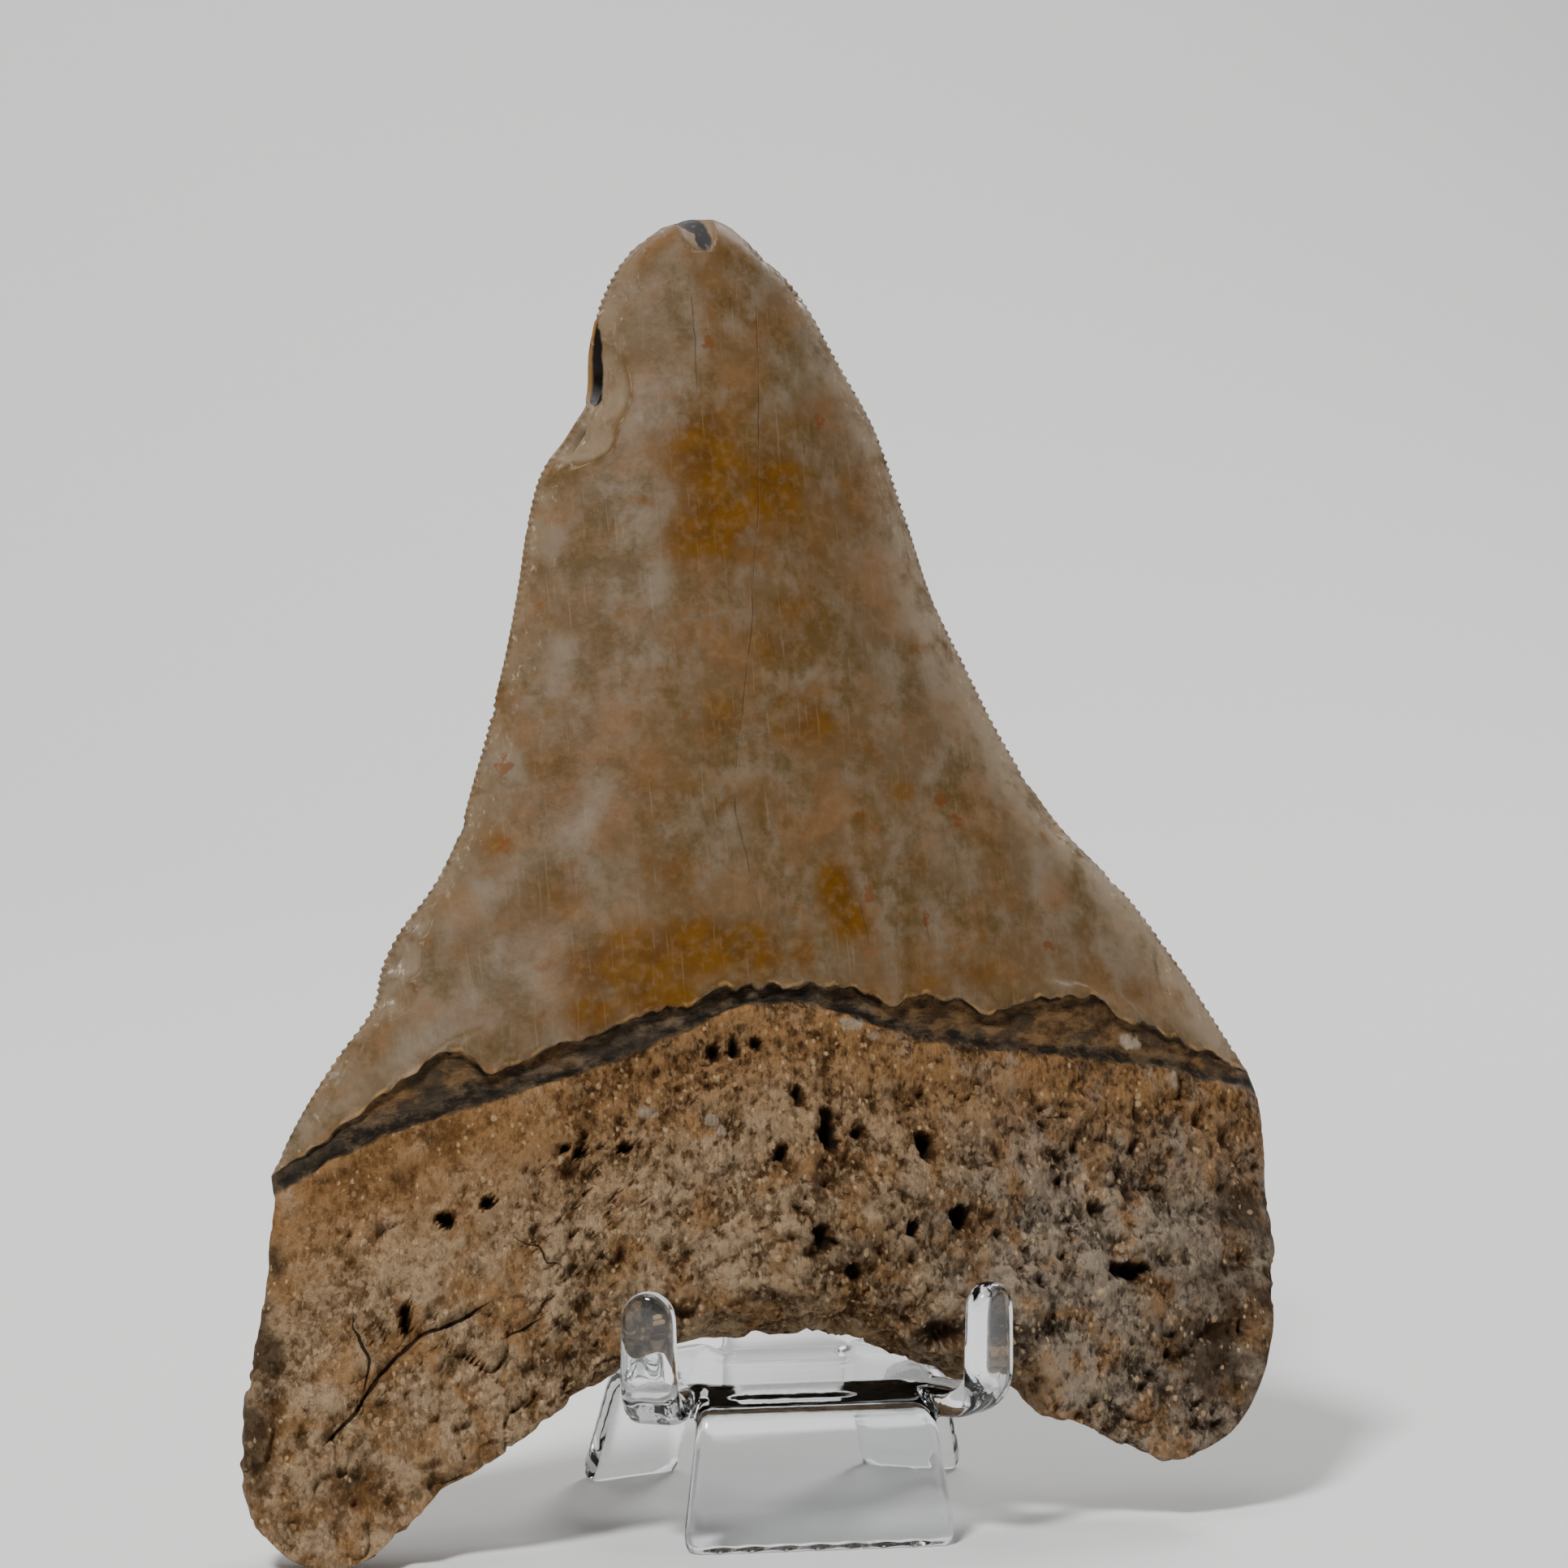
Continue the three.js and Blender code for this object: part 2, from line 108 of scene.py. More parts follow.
# Pits of the root: x, s, half width, half height, depth
PITS = [
    (-10.2, 28.2, 0.5, 0.9, 0.9), (-8.3, 28.8, 0.5, 0.9, 0.9), (-6.3, 28.9, 0.45, 0.7, 0.8),
    (-3.0, 24.2, 0.5, 1.0, 0.9), (-0.3, 20.9, 0.8, 2.3, 1.5), (-4.6, 19.2, 0.7, 0.8, 0.9),
    (8.8, 19.5, 1.0, 1.2, 1.5), (2.5, 20.7, 0.6, 0.8, 0.8), (-23.8, 20.6, 0.6, 0.6, 0.8),
    (-22.5, 20.1, 0.7, 0.6, 0.9), (-18.5, 20.3, 0.7, 0.5, 0.8), (-34.4, 14.7, 0.8, 0.9, 1.2),
    (-30.9, 15.9, 0.7, 0.8, 1.0), (11.7, 12.8, 1.2, 1.4, 1.6), (7.0, 11.9, 0.7, 0.8, 1.0),
    (1.3, 8.3, 0.8, 0.9, 1.2), (-1.5, 11.5, 0.8, 1.3, 1.2), (27.9, 7.5, 2.0, 0.9, 1.4),
    (-38.6, 6.3, 0.6, 1.7, 1.2)]
# Cracks of the root: depth, line
CRACKS = [
    (1.0, [
        (-46.9, -4.8), (-43.3, -1.6), (-41.4, 1.2), (-39.5, 3.1), (-37.3, 4.8), (-34.6, 5.6),
        (-31.0, 7.2)]),
    (0.8, [(-43.4, 7.4), (-42.6, 5.0), (-42.3, 2.6), (-42.9, -1.2)]),
    (0.5, [(-28.6, 13.6), (-26.4, 11.6), (-24.0, 9.8)]),
    (0.6, [(-30.8, 4.0), (-28.4, 4.6), (-26.0, 6.1)])]
# Hairline cracks of the enamel, on the shown face and on the back
HAIRLINES = [
    [
        (-0.3, 100.2), (-0.9, 91.0), (-1.8, 80.5), (-3.0, 72.0), (-3.9, 65.2), (-5.6, 57.0),
        (-6.6, 50.2), (-4.6, 38.9)],
    [(-6.5, 101.6), (-6.6, 95.0), (-6.9, 88.3)], [(9.0, 47.0), (10.4, 41.0), (11.0, 36.0)],
    [(4.0, 44.0), (4.8, 39.0), (5.0, 35.6)]]
BACK_HAIRLINES = [
    [(-3.4, 101.0), (-2.6, 90.0), (-3.8, 76.0), (-2.4, 62.0), (-4.2, 48.0), (-3.4, 34.0)],
    [(5.6, 84.0), (6.8, 70.0), (9.2, 56.0), (10.4, 43.0)],
    [(-14.2, 72.0), (-16.0, 58.0), (-19.6, 44.0), (-21.0, 34.0)], [(22.0, 44.0), (24.4, 35.0)],
    [(-31.0, 38.0), (-32.2, 28.0)], [(14.6, 42.0), (15.4, 30.5)], [(-9.0, 43.0), (-9.8, 32.5)]]
# Scooped chips on the cutting edge and the tip: x, s, half width, half height, depth
CHIPS = [
    (-14.8, 91.2, 2.4, 4.6, 0.7), (-17.4, 86.4, 3.3, 2.8, 1.1), (-36.4, 38.9, 2.0, 2.0, 1.0),
    (-37.2, 35.3, 1.9, 1.7, 0.9), (-5.2, 105.6, 1.7, 2.6, 0.6), (4.6, 100.8, 0.9, 1.8, 0.9),
    (25.9, 49.3, 0.8, 1.5, 0.6), (34.9, 35.4, 0.8, 2.2, 0.6), (-31.8, 46.4, 1.0, 1.8, 0.6),
    (-34.4, 42.2, 1.1, 1.3, 0.6), (1.2, 103.6, 1.2, 1.0, 0.7), (-42.6, 29.8, 0.9, 2.0, 0.5)]
# Dark broken places of the crown: x, s, half width, half height, strength
BROKEN = [
    (-14.9, 96.2, 0.45, 2.2, 1.0), (-15.2, 93.6, 0.5, 1.8, 1.0), (-15.4, 92.2, 0.5, 1.4, 1.0),
    (-15.6, 90.8, 0.6, 1.3, 1.0), (-5.6, 106.6, 1.4, 1.1, 1.0), (-4.9, 105.0, 0.9, 1.9, 1.0)]
# Ochre blotches of the enamel: x, s, half width, half height, strength
OCHRE = [
    (-6.5, 83.6, 4.0, 5.0, 0.9), (-6.0, 77.5, 3.8, 4.2, 1.0), (-8.8, 76.0, 2.8, 3.2, 0.8),
    (-0.6, 80.5, 5.4, 4.8, 0.8), (8.4, 79.4, 4.2, 4.0, 0.7), (-16.8, 37.0, 5.0, 3.4, 1.0),
    (-11.0, 38.0, 4.8, 3.2, 1.0), (-20.4, 36.4, 3.8, 2.8, 0.85), (2.2, 42.6, 2.2, 3.4, 0.9),
    (3.4, 39.6, 2.4, 2.2, 0.8), (1.0, 68.2, 4.0, 3.0, 0.45), (-1.2, 65.2, 3.6, 2.6, 0.45),
    (1.4, 58.0, 5.0, 3.4, 0.6), (15.6, 35.1, 2.6, 1.5, 0.5), (-21.7, 54.0, 3.0, 4.0, 0.5),
    (-27.1, 48.4, 1.6, 1.3, 0.6), (-22.0, 42.8, 3.6, 3.0, 0.45), (10.2, 51.5, 3.6, 2.0, 0.5),
    (-7.7, 58.6, 3.4, 3.2, 0.6), (10.6, 34.0, 2.2, 1.3, 0.5), (-31.9, 39.0, 2.2, 1.6, 0.35),
    (-14.0, 53.5, 5.0, 4.0, 0.5), (3.0, 74.0, 5.0, 5.0, 0.4), (-21.0, 32.6, 3.6, 2.4, 0.8),
    (6.5, 88.0, 3.0, 4.0, 0.4), (-12.0, 44.0, 4.0, 2.5, 0.4), (-15.0, 34.0, 4.6, 2.2, 0.9),
    (-6.0, 37.6, 3.4, 3.0, 0.85), (-1.4, 37.0, 1.4, 2.4, 0.7)]
# Small brown specks of the enamel: x, s, radius
SPECKS = [
    (-5.4, 94.4, 0.7), (10.5, 39.9, 0.6), (22.8, 37.2, 0.6), (-26.8, 48.3, 0.6), (13.4, 51.1, 0.8),
    (5.2, 49.9, 0.6), (-26.1, 55.9, 0.9), (5.3, 42.4, 0.7), (4.9, 87.0, 0.7), (14.8, 49.2, 0.6)]
# Dark stains of the root: x, s, half width, half height, strength
STAINS = [
    (40.6, 11.9, 3.6, 5.0, 0.9), (39.9, 4.4, 3.6, 4.0, 0.8), (35.9, -2.0, 4.5, 2.6, 0.6),
    (33.3, 4.6, 4.0, 3.0, 0.4), (-1.4, 15.5, 0.8, 4.5, 0.8), (-44.4, -7.2, 1.3, 1.1, 0.8),
    (-16.0, 5.4, 5.0, 1.8, 0.7), (-5.0, 6.4, 6.0, 1.3, 0.6), (9.0, 2.6, 5.0, 1.8, 0.6),
    (18.0, 2.0, 4.0, 2.5, 0.5), (-26.0, 1.5, 3.0, 1.4, 0.5), (-51.4, 5.0, 2.3, 7.0, 1.0),
    (-52.9, -4.0, 2.0, 5.0, 0.9), (-49.8, 13.0, 1.9, 4.0, 0.8), (12.0, 8.6, 2.2, 1.6, 0.5),
    (37.0, 1.0, 9.0, 11.0, 0.75), (2.0, 11.0, 13.0, 6.0, 0.40)]
# Pale grains on the root: x, s, half width, half height, strength
GRAINS = [
    (15.3, 7.2, 1.4, 1.3, 1.0), (13.6, 6.0, 0.9, 0.8, 0.7), (-10.8, 22.4, 0.8, 0.6, 0.9),
    (-10.0, 21.4, 0.5, 0.7, 0.8), (-16.3, 23.5, 1.1, 0.9, 0.6), (2.3, 30.4, 1.5, 0.8, 0.6),
    (4.6, 29.4, 1.0, 0.7, 0.6), (30.0, 28.4, 1.7, 1.1, 0.6), (-5.7, 24.9, 0.5, 0.5, 0.6),
    (-24.6, 23.6, 0.7, 0.5, 0.5), (33.6, 24.4, 1.2, 1.4, 0.5)]

# The grid of points: rows are closer towards the arch and the tip, columns towards the sides
ROOT_ROWS, CROWN_ROWS, COLUMNS, EDGE_SPLIT = 150, 88, 260, 7
ROOT_CLOSER, CROWN_CLOSER, COLUMNS_CLOSER = 1.15, 1.12, 0.45
BAND_STEPS = [0.0, 0.10, 0.22, 0.34, 0.46, 0.57, 0.67, 0.76, 0.83, 0.89, 0.93, 0.97]
# Room between the shown face and the back on the flat chart, and the chart's margin
CHART_GAP, CHART_MARGIN = 125.0, 0.01
# A turn that keeps the lumps of a random field off the tooth's own directions
TURN = np.array([[0.6, 0.64, 0.48], [-0.8, 0.48, 0.36], [0.0, -0.6, 0.8]])
# Distances, in cells or millimetres, that stand for a point or a line that isn't near
FAR, FARTHEST = 9.0, 99.0


def smooth(v, lo, hi):
    t = np.clip((v - lo) / (hi - lo), 0, 1)
    return t * t * (3 - 2 * t)


def mix(a, b, t):
    return a + (b - a) * t


def line(knots, per=40):
    """A smooth curve through the knots: its points and how far along it each lies, from 0 to 1."""
    p = np.array(knots, float)
    p = np.vstack([2 * p[0] - p[1], p, 2 * p[-1] - p[-2]])
    t = np.linspace(0, 1, per, endpoint=False)[:, None]
    parts = []
    for a, b, c, d in zip(p, p[1:], p[2:], p[3:]):
        k0, k1, k2 = (math.sqrt(np.hypot(*(q - r))) for q, r in ((b, a), (c, b), (d, c)))
        m1 = k1 * ((b - a) / k0 - (c - a) / (k0 + k1) + (c - b) / k1)
        m2 = k1 * ((c - b) / k1 - (d - b) / (k1 + k2) + (d - c) / k2)
        square, cube = 3 * c - 3 * b - 2 * m1 - m2, 2 * b - 2 * c + m1 + m2
        parts.append(b + m1 * t + square * t**2 + cube * t**3)
    points = np.vstack(parts + [p[-2:-1]])
    run = np.concatenate([[0], np.cumsum(np.hypot(*np.diff(points, axis=0).T))])
    return points, run / run[-1]


def along(curve, f):
    points, run = curve
    return np.stack([np.interp(f, run, points[:, k]) for k in (0, 1)], -1)


def patch(low, high, left, right, u, w):
    """Points of the patch between two edge lines and two side lines, at columns u of the row w."""
    a, b = along(low, u), along(high, u)
    l, r = along(left, w), along(right, w)
    u = u[:, None]
    ends = [mix(along(low, k), along(high, k), w) for k in (0.0, 1.0)]
    return mix(a, b, w) + (1 - u) * l + u * r - (1 - u) * ends[0] - u * ends[1]


def hashed(cell, seed):
    """A random number between 0 and 1 for each cell."""
    h = cell[:, 0] * 374761393 + cell[:, 1] * 668265263 + cell[:, 2] * 1440662683 + seed * 974634113
    h = h & 0xFFFFFFFF
    h = ((h ^ (h >> 13)) * 1274126177) & 0xFFFFFFFF
    h = ((h ^ (h >> 16)) * 668265263) & 0xFFFFFFFF
    return ((h ^ (h >> 15)) & 0xFFFFF) / 0xFFFFF


def noise(p, size, seed):
    """A smooth random field between -1 and 1, with lumps of the given size along x, y and s."""
    q = (p if np.ndim(size) else p @ TURN) / np.asarray(size, float)
    cell = np.floor(q).astype(np.int64)
    f = q - cell
    f = f * f * (3 - 2 * f)
    total = np.zeros(len(p))
    for corner in np.ndindex(2, 2, 2):
        share = np.prod(np.where(corner, f, 1 - f), axis=1)
        total += share * (2 * hashed(cell + corner, seed) - 1)
    return total


def scatter(p, size, seed):
    """Distance to the nearest of scattered points, one to a cell, and a random number for it."""
    q = p / np.asarray(size, float)
    cell = np.floor(q).astype(np.int64)
    best, tag = np.full(len(p), FAR), np.zeros(len(p))
    for corner in np.ndindex(3, 3, 3):
        c = cell + np.array(corner) - 1
        d = np.sqrt(sum((c[:, k] + hashed(c, seed + k) - q[:, k]) ** 2 for k in range(3)))
        tag = np.where(d < best, hashed(c, seed + 3), tag)
        best = np.minimum(best, d)
    return best, tag


def spots(x, s, places, sharp=1):
    """How far inside any of the given spots a place lies: 1 in the middle of one, 0 outside."""
    most = np.zeros_like(x)
    for px, ps, wide, high, strength in places:
        r = ((x - px) / wide) ** 2 + ((s - ps) / high) ** 2
        most = np.maximum(most, strength * np.exp(-(r**sharp)))
    return most


def depths(x, s, u, zone, w):
    """Depth of the shown face and of the back from the tooth's plane, and how full it is there."""
    a = np.abs(2 * u - 1)
    crownness = {
        "root": 0.7 * smooth(w, 0.6, 1), "band": 0.7 + 0.15 * w,
        "crown": 0.85 + 0.15 * smooth(w, 0, 0.1)}[zone]
    blunt = np.sqrt(np.maximum(1 - a**BLUNT, 0))
    lens = np.maximum(1 - a * a, 0) ** LENS
    across = mix(blunt, lens, crownness)
    torus = LOBE_DEPTH + (TORUS_DEPTH - LOBE_DEPTH) * np.exp(-((x / TORUS_SPREAD) ** 2))
    rise = w if zone == "crown" else 0
    front = mix(torus, mix(CROWN_DEPTH, CROWN_TIP_DEPTH, rise), crownness) * across
    back = mix(ROOT_BACK, mix(CROWN_BACK, CROWN_TIP_BACK, rise), crownness) * across
    full = across
    if zone == "root":
        under = 1 - min(w / UNDERSIDE, 1)
        roll = math.sqrt(1 - under * under)
        lumps = np.sin(0.33 * x + 1.1) * np.sin(0.29 * s + 0.4) + 0.6 * np.sin(0.21 * x - 0.4 * s)
        front = front * roll + 0.45 * lumps * across * roll * (1 - w)
        back, full = back * roll, full * roll
    if zone == "band":
        sunk = mix(0.35, 1, smooth(w, 0, 0.3)) * (1 - smooth(w, 0.90, 1.0))
        front = front - LEDGE * (1 - a**6) * sunk
    if zone == "crown":
        end = max((w - TIP_START) / TIP_ROLL, 0)
        roll = math.sqrt(max(1 - end * end, 0))
        front, back = front * roll, back * roll
    return front, back, full


def bend(s):
    """How far back the tooth's middle lies at s."""
    return BEND_DEPTH * (np.maximum(s - BEND_START, 0) / BEND_LENGTH) ** 2


def zone_lines():
    """The root's edge, the enamel's edge, calm and ragged, and the four lines round each zone."""
    root_edge, calm_edge, enamel_edge = line(ROOT_EDGE), line(ENAMEL_EDGE[::5]), line(ENAMEL_EDGE)
    points, run = enamel_edge
    flat = np.stack([points[:, 0], 0 * run, 0 * run], -1)
    ragged = 0.6 * noise(flat, 1.9, 61) + 0.45 * noise(flat, 0.8, 62)
    points[:, 1] += ragged * smooth(run, 0, 0.05) * (1 - smooth(run, 0.95, 1))
    band_left = line([LEFT_ROOT[-1], LEFT_CROWN[0]])
    band_right = line([RIGHT_ROOT[-1], RIGHT_CROWN[0]])
    sides = {
        "root": (line(ARCH), root_edge, line(LEFT_ROOT), line(RIGHT_ROOT)),
        "band": (root_edge, calm_edge, band_left, band_right),
        "crown": (calm_edge, line(TIP), line(LEFT_CROWN), line(RIGHT_CROWN))}
    return root_edge, calm_edge, enamel_edge, sides


def flat_chart(ids, points, middle_row):
    """Each point's place on a flat chart, by its way across its row and up its column."""
    p = points[ids]
    far = np.cumsum(np.linalg.norm(np.diff(p, axis=1, prepend=p[:, :1]), axis=2), axis=1)
    up = np.cumsum(np.linalg.norm(np.diff(p, axis=0, prepend=p[:1]), axis=2), axis=0)
    chart = np.stack([far - far[:, far.shape[1] // 2][:, None], up - up[middle_row]], -1)
    return {int(k): c for k, c in zip(ids.ravel(), chart.reshape(-1, 2))}


def stitched(fronts, backs, charts, cut):
    """Triangles of both faces, and the chart places of their corners."""
    last = len(fronts) - 1
    tris, places = [], []
    for ids, chart, turned in ((fronts, charts[0], False), (backs, charts[1], True)):
        wide = len(ids[0]) - 1
        for j in range(last):
            left, right = cut.get((j, "left"), []), cut.get((j, "right"), [])
            for i in range(wide):
                p, q, r, t = ids[j][i], ids[j][i + 1], ids[j + 1][i + 1], ids[j + 1][i]
                below = [fronts[0][2 * i + 1]] if turned and j == 0 else []
                above = [fronts[last][2 * i + 1]] if turned and j == last - 1 else []
                if below:
                    fan = [r, t, p, *below, q]
                elif above or i == 0:
                    fan = [q, r, *above, t, *(left[::-1] if i == 0 else []), p]
                    if above and i == wide - 1:
                        fan = [p, q, *right, r, *above, t]
                elif i == wide - 1:
                    fan = [p, q, *right, r, t]
                elif (i < wide / 2) == (j < last / 2):
                    fan = [p, q, r, t]
                else:
                    fan = [q, r, t, p]
                for b, c in zip(fan[1:], fan[2:]):
                    tri = (fan[0], c, b) if turned else (fan[0], b, c)
                    tris.append(tri)
                    places.append([chart.get(int(v), (0.0, 0.0)) for v in tri])
        if not turned:
            shown_tris = len(tris)
    places = np.array(places, float).reshape(-1, 2)
    places[3 * shown_tris:, 0] += CHART_GAP
    places -= places.min(axis=0)
    return np.array(tris), CHART_MARGIN + (1 - 2 * CHART_MARGIN) * places / places.max()


def tooth_mesh():
    """The tooth's points, what is known of each, its triangles and their places on a flat chart."""
    root_edge, calm_edge, enamel_edge, sides = zone_lines()
    rows = [("root", (j / ROOT_ROWS) ** ROOT_CLOSER) for j in range(ROOT_ROWS)]
    rows += [("band", w) for w in BAND_STEPS]
    first_crown = len(rows)
    rows += [("crown", 1 - (1 - j / CROWN_ROWS) ** CROWN_CLOSER) for j in range(CROWN_ROWS + 1)]
    last = len(rows) - 1
    even = np.linspace(0, 1, COLUMNS + 1)
    u = mix(even, 0.5 - 0.5 * np.cos(np.pi * even), COLUMNS_CLOSER)

    def known(x, s, edge, face, thick, rim):
        enamel = s - np.interp(x, *enamel_edge[0].T)
        root = s - np.interp(x, *root_edge[0].T)
        if face < 0:
            flat = np.stack([x, 0 * x, s], -1)
            enamel = root = root - 0.6 + 0.9 * noise(flat, 4.0, 63) + 0.5 * noise(flat, 1.4, 64)
        one = np.ones_like(x)
        return np.stack([enamel, root, edge, face * one, thick, rim * one], -1)

    verts, facts, fronts, backs = [], [], [], []
    count = 0
    for j, (zone, w) in enumerate(rows):
        strip = 0.0
        if zone == "crown":
            width = along(sides[zone][3], w)[0] - along(sides[zone][2], w)[0]
            strip = EDGE_STRIP / width * smooth(w, 0, 0.04)
        across = np.where((u > 0) & (u < 1), mix(strip, 1 - strip, u), u)
        stray = along(enamel_edge, across) - along(calm_edge, across)
        held = {"root": 0, "band": smooth(w, 0, 1), "crown": 1 - smooth(w, 0, 0.07)}[zone]
        x, s = (patch(*sides[zone], across, w) + held * stray).T
        f, b, full = depths(x, s, across, zone, w)
        rim = np.zeros(len(u), bool)
        rim[[0, -1]] = True
        rim |= j in (0, last)
        f, b, full = (np.where(rim, 0, v) for v in (f, b, full))
        mid = bend(s) - BASE_FORWARD * (1 - smooth(s, -6, 16)) * (1 - full)
        edge = np.minimum(x - x[0], x[-1] - x) * EDGE_LEAN
        ids = count + np.arange(len(u))
        fronts.append(ids)
        verts.append(np.stack([x, mid - f, s], -1))
        facts.append(known(x, s, edge, 1, f + b, rim))
        count += len(u)
        inner = ~rim
        inner[1::2] = False
        behind = ids.copy()
        behind[inner] = count + np.arange(inner.sum())
        backs.append(behind[::2])
        verts.append(np.stack([x, mid + b, s], -1)[inner])
        facts.append(known(x[inner], s[inner], edge[inner], -1, (f + b)[inner], rim[inner]))
        count += inner.sum()
    grid = np.vstack(verts)
    charts = [flat_chart(np.array(ids), grid, first_crown) for ids in (fronts, backs)]

    # Points that split the cutting edge between two rows, for the serrations
    cut = {}
    for j in range(first_crown, last):
        for side, k, end in (("left", 2, 0), ("right", 3, -1)):
            cut[j, side] = []
            for step in range(1, EDGE_SPLIT):
                share = step / EDGE_SPLIT
                x, s = along(sides["crown"][k], mix(rows[j][1], rows[j + 1][1], share))
                verts.append(np.array([[x, bend(s), s]]))
                facts.append(known(np.array([x]), np.array([s]), np.zeros(1), 1, np.zeros(1), 1))
                low, high = int(fronts[j][end]), int(fronts[j + 1][end])
                for chart in charts:
                    chart[count] = mix(chart[low], chart[high], share)
                cut[j, side].append(count)
                count += 1
    return np.vstack(verts), np.vstack(facts), *stitched(fronts, backs, charts, cut)


def normals(verts, tris):
    a, b, c = (verts[tris[:, k]] for k in range(3))
    n = np.cross(b - a, c - a)
    total = np.zeros_like(verts)
    for k in range(3):
        np.add.at(total, tris[:, k], n)
    return total / np.maximum(np.linalg.norm(total, axis=1, keepdims=True), 1e-12)


def nearest_line(x, s, lines, taper):
    """Signed distance to the nearest line, its number, and a share that fades to 0 at its ends."""
    best, which, share = np.full(len(x), FARTHEST), np.zeros(len(x), int), np.zeros(len(x))
    for number, knots in enumerate(lines):
        knots = np.array(knots)
        lengths = np.hypot(*np.diff(knots, axis=0).T)
        begun = 0.0
        for (x0, s0), (x1, s1), length in zip(knots, knots[1:], lengths):
            dx, ds = (x1 - x0) / length, (s1 - s0) / length
            run = (x - x0) * dx + (s - s0) * ds
            off = (x - x0) * ds - (s - s0) * dx
            gap = np.hypot(off, run - np.clip(run, 0, length))
            near = gap < np.abs(best)
            ends = np.minimum(begun + run, lengths.sum() - begun - run)
            best = np.where(near, np.where(off < 0, -gap, gap), best)
            which = np.where(near, number, which)
            share = np.where(near, smooth(ends, 0, taper), share)
            begun += length
    return best, which, share


def holes(verts, size, share, radius, seed):
    """Scattered bowls, 1 in the middle, in a share of the cells, with a radius in cells."""
    gap, tag = scatter(verts, size, seed)
    wide = radius * (0.6 + 0.8 * (tag / share))
    return (tag < share) * np.clip(1 - (gap / wide) ** 2, 0, 1) ** 0.6


def bone_relief(verts, root, edge):
    """Rough bone with fibres along the tooth, its pores, hollows worn along the arch, and the sum."""
    x, s = verts[:, 0], verts[:, 2]
    warped = verts + 0.45 * np.stack([noise(verts, 1.3, seed) for seed in (18, 19, 20)], -1)
    porous = mix(0.5, 1, smooth(noise(verts, 6, 12), -0.35, 0.25))
    porous *= mix(1, 0.5, smooth(root, -6, -2))
    porous *= mix(0.6, 1, smooth(x, -36, -22))
    large, small = holes(warped, 2.5, 0.85, 0.32, 51), holes(warped, 1.25, 0.75, 0.34, 55)
    pores = np.maximum(large, 0.6 * small) * porous
    worn = smooth(noise(verts, 3.0, 13), 0.0, 0.5) * (1 - smooth(s - 0.1 * x, 2, 8))
    worn *= smooth(x, -32, -22)
    worn *= 1 - smooth(x, 14, 22)
    fibre = noise(verts, (0.7, 0.7, 3.2), 3)
    gullies = 1 - smooth(np.abs(noise(verts, (2.6, 2.6, 4.2), 16)), 0, 0.16)
    gullies *= smooth(noise(verts, 8, 17), -0.1, 0.4)
    relief = 0.55 * noise(verts, 3.0, 2) + 0.40 * noise(verts, 1.5, 9) + 0.18 * noise(verts, 0.8, 4)
    relief += 0.08 * fibre - 0.5 * gullies
    rough = mix(0.65, 1.15, smooth(noise(verts, 9, 14), -0.4, 0.4))
    rough *= mix(1, 0.55, smooth(root, -6, -1))
    rough *= mix(1.5, 1.0, smooth(x, -34, -22))
    grain = 0.6 * noise(verts, 6.0, 1) + rough * relief - pores - 1.2 * worn
    grain *= mix(0.3, 1, smooth(edge, 0, 3))
    return relief, pores, worn, grain


def enamel_relief(verts, edge):
    """Slight waves of the enamel, and flakes off it beside the cutting edge."""
    waves = 0.07 * noise(verts, 6, 7) + 0.03 * noise(verts, (2.5, 2.5, 18), 8)
    gap, tag = scatter(verts, (1.1, 1.1, 1.6), 71)
    flakes = 0.22 * (tag < 0.4) * (1 - smooth(gap, 0.2, 0.5))
    return waves - flakes * (1 - smooth(edge, 0.6, 2.6)) * (edge > 0)


def serrations(verts, enamel, rim):
    """How far each point of the cutting edge is moved along x, less where the edge is worn."""
    x, s = verts[:, 0], verts[:, 2]
    cutting = (rim > 0) & (enamel > 0.3) & (s < 105.5)
    phase = 2 * np.pi * s / SERRATION_PITCH + 1.3 * noise(verts, 2.5, 41)
    wear = 0.35 + 0.65 * smooth(noise(verts, 5.0, 42), -0.6, 0.4)
    wear *= 1 - smooth(s, 83.5, 85) * (1 - smooth(s, 97, 98.5)) * (x < -10)
    bite = SERRATION_DEPTH * wear * np.abs(np.cos(phase / 2)) ** 1.5
    bite += 0.2 * smooth(noise(verts, 2.0, 43), 0.3, 0.75)
    inward = np.where(x < -4 - 0.1 * (s - 60), 1.0, -1.0)
    return np.where(cutting, inward * bite, 0)


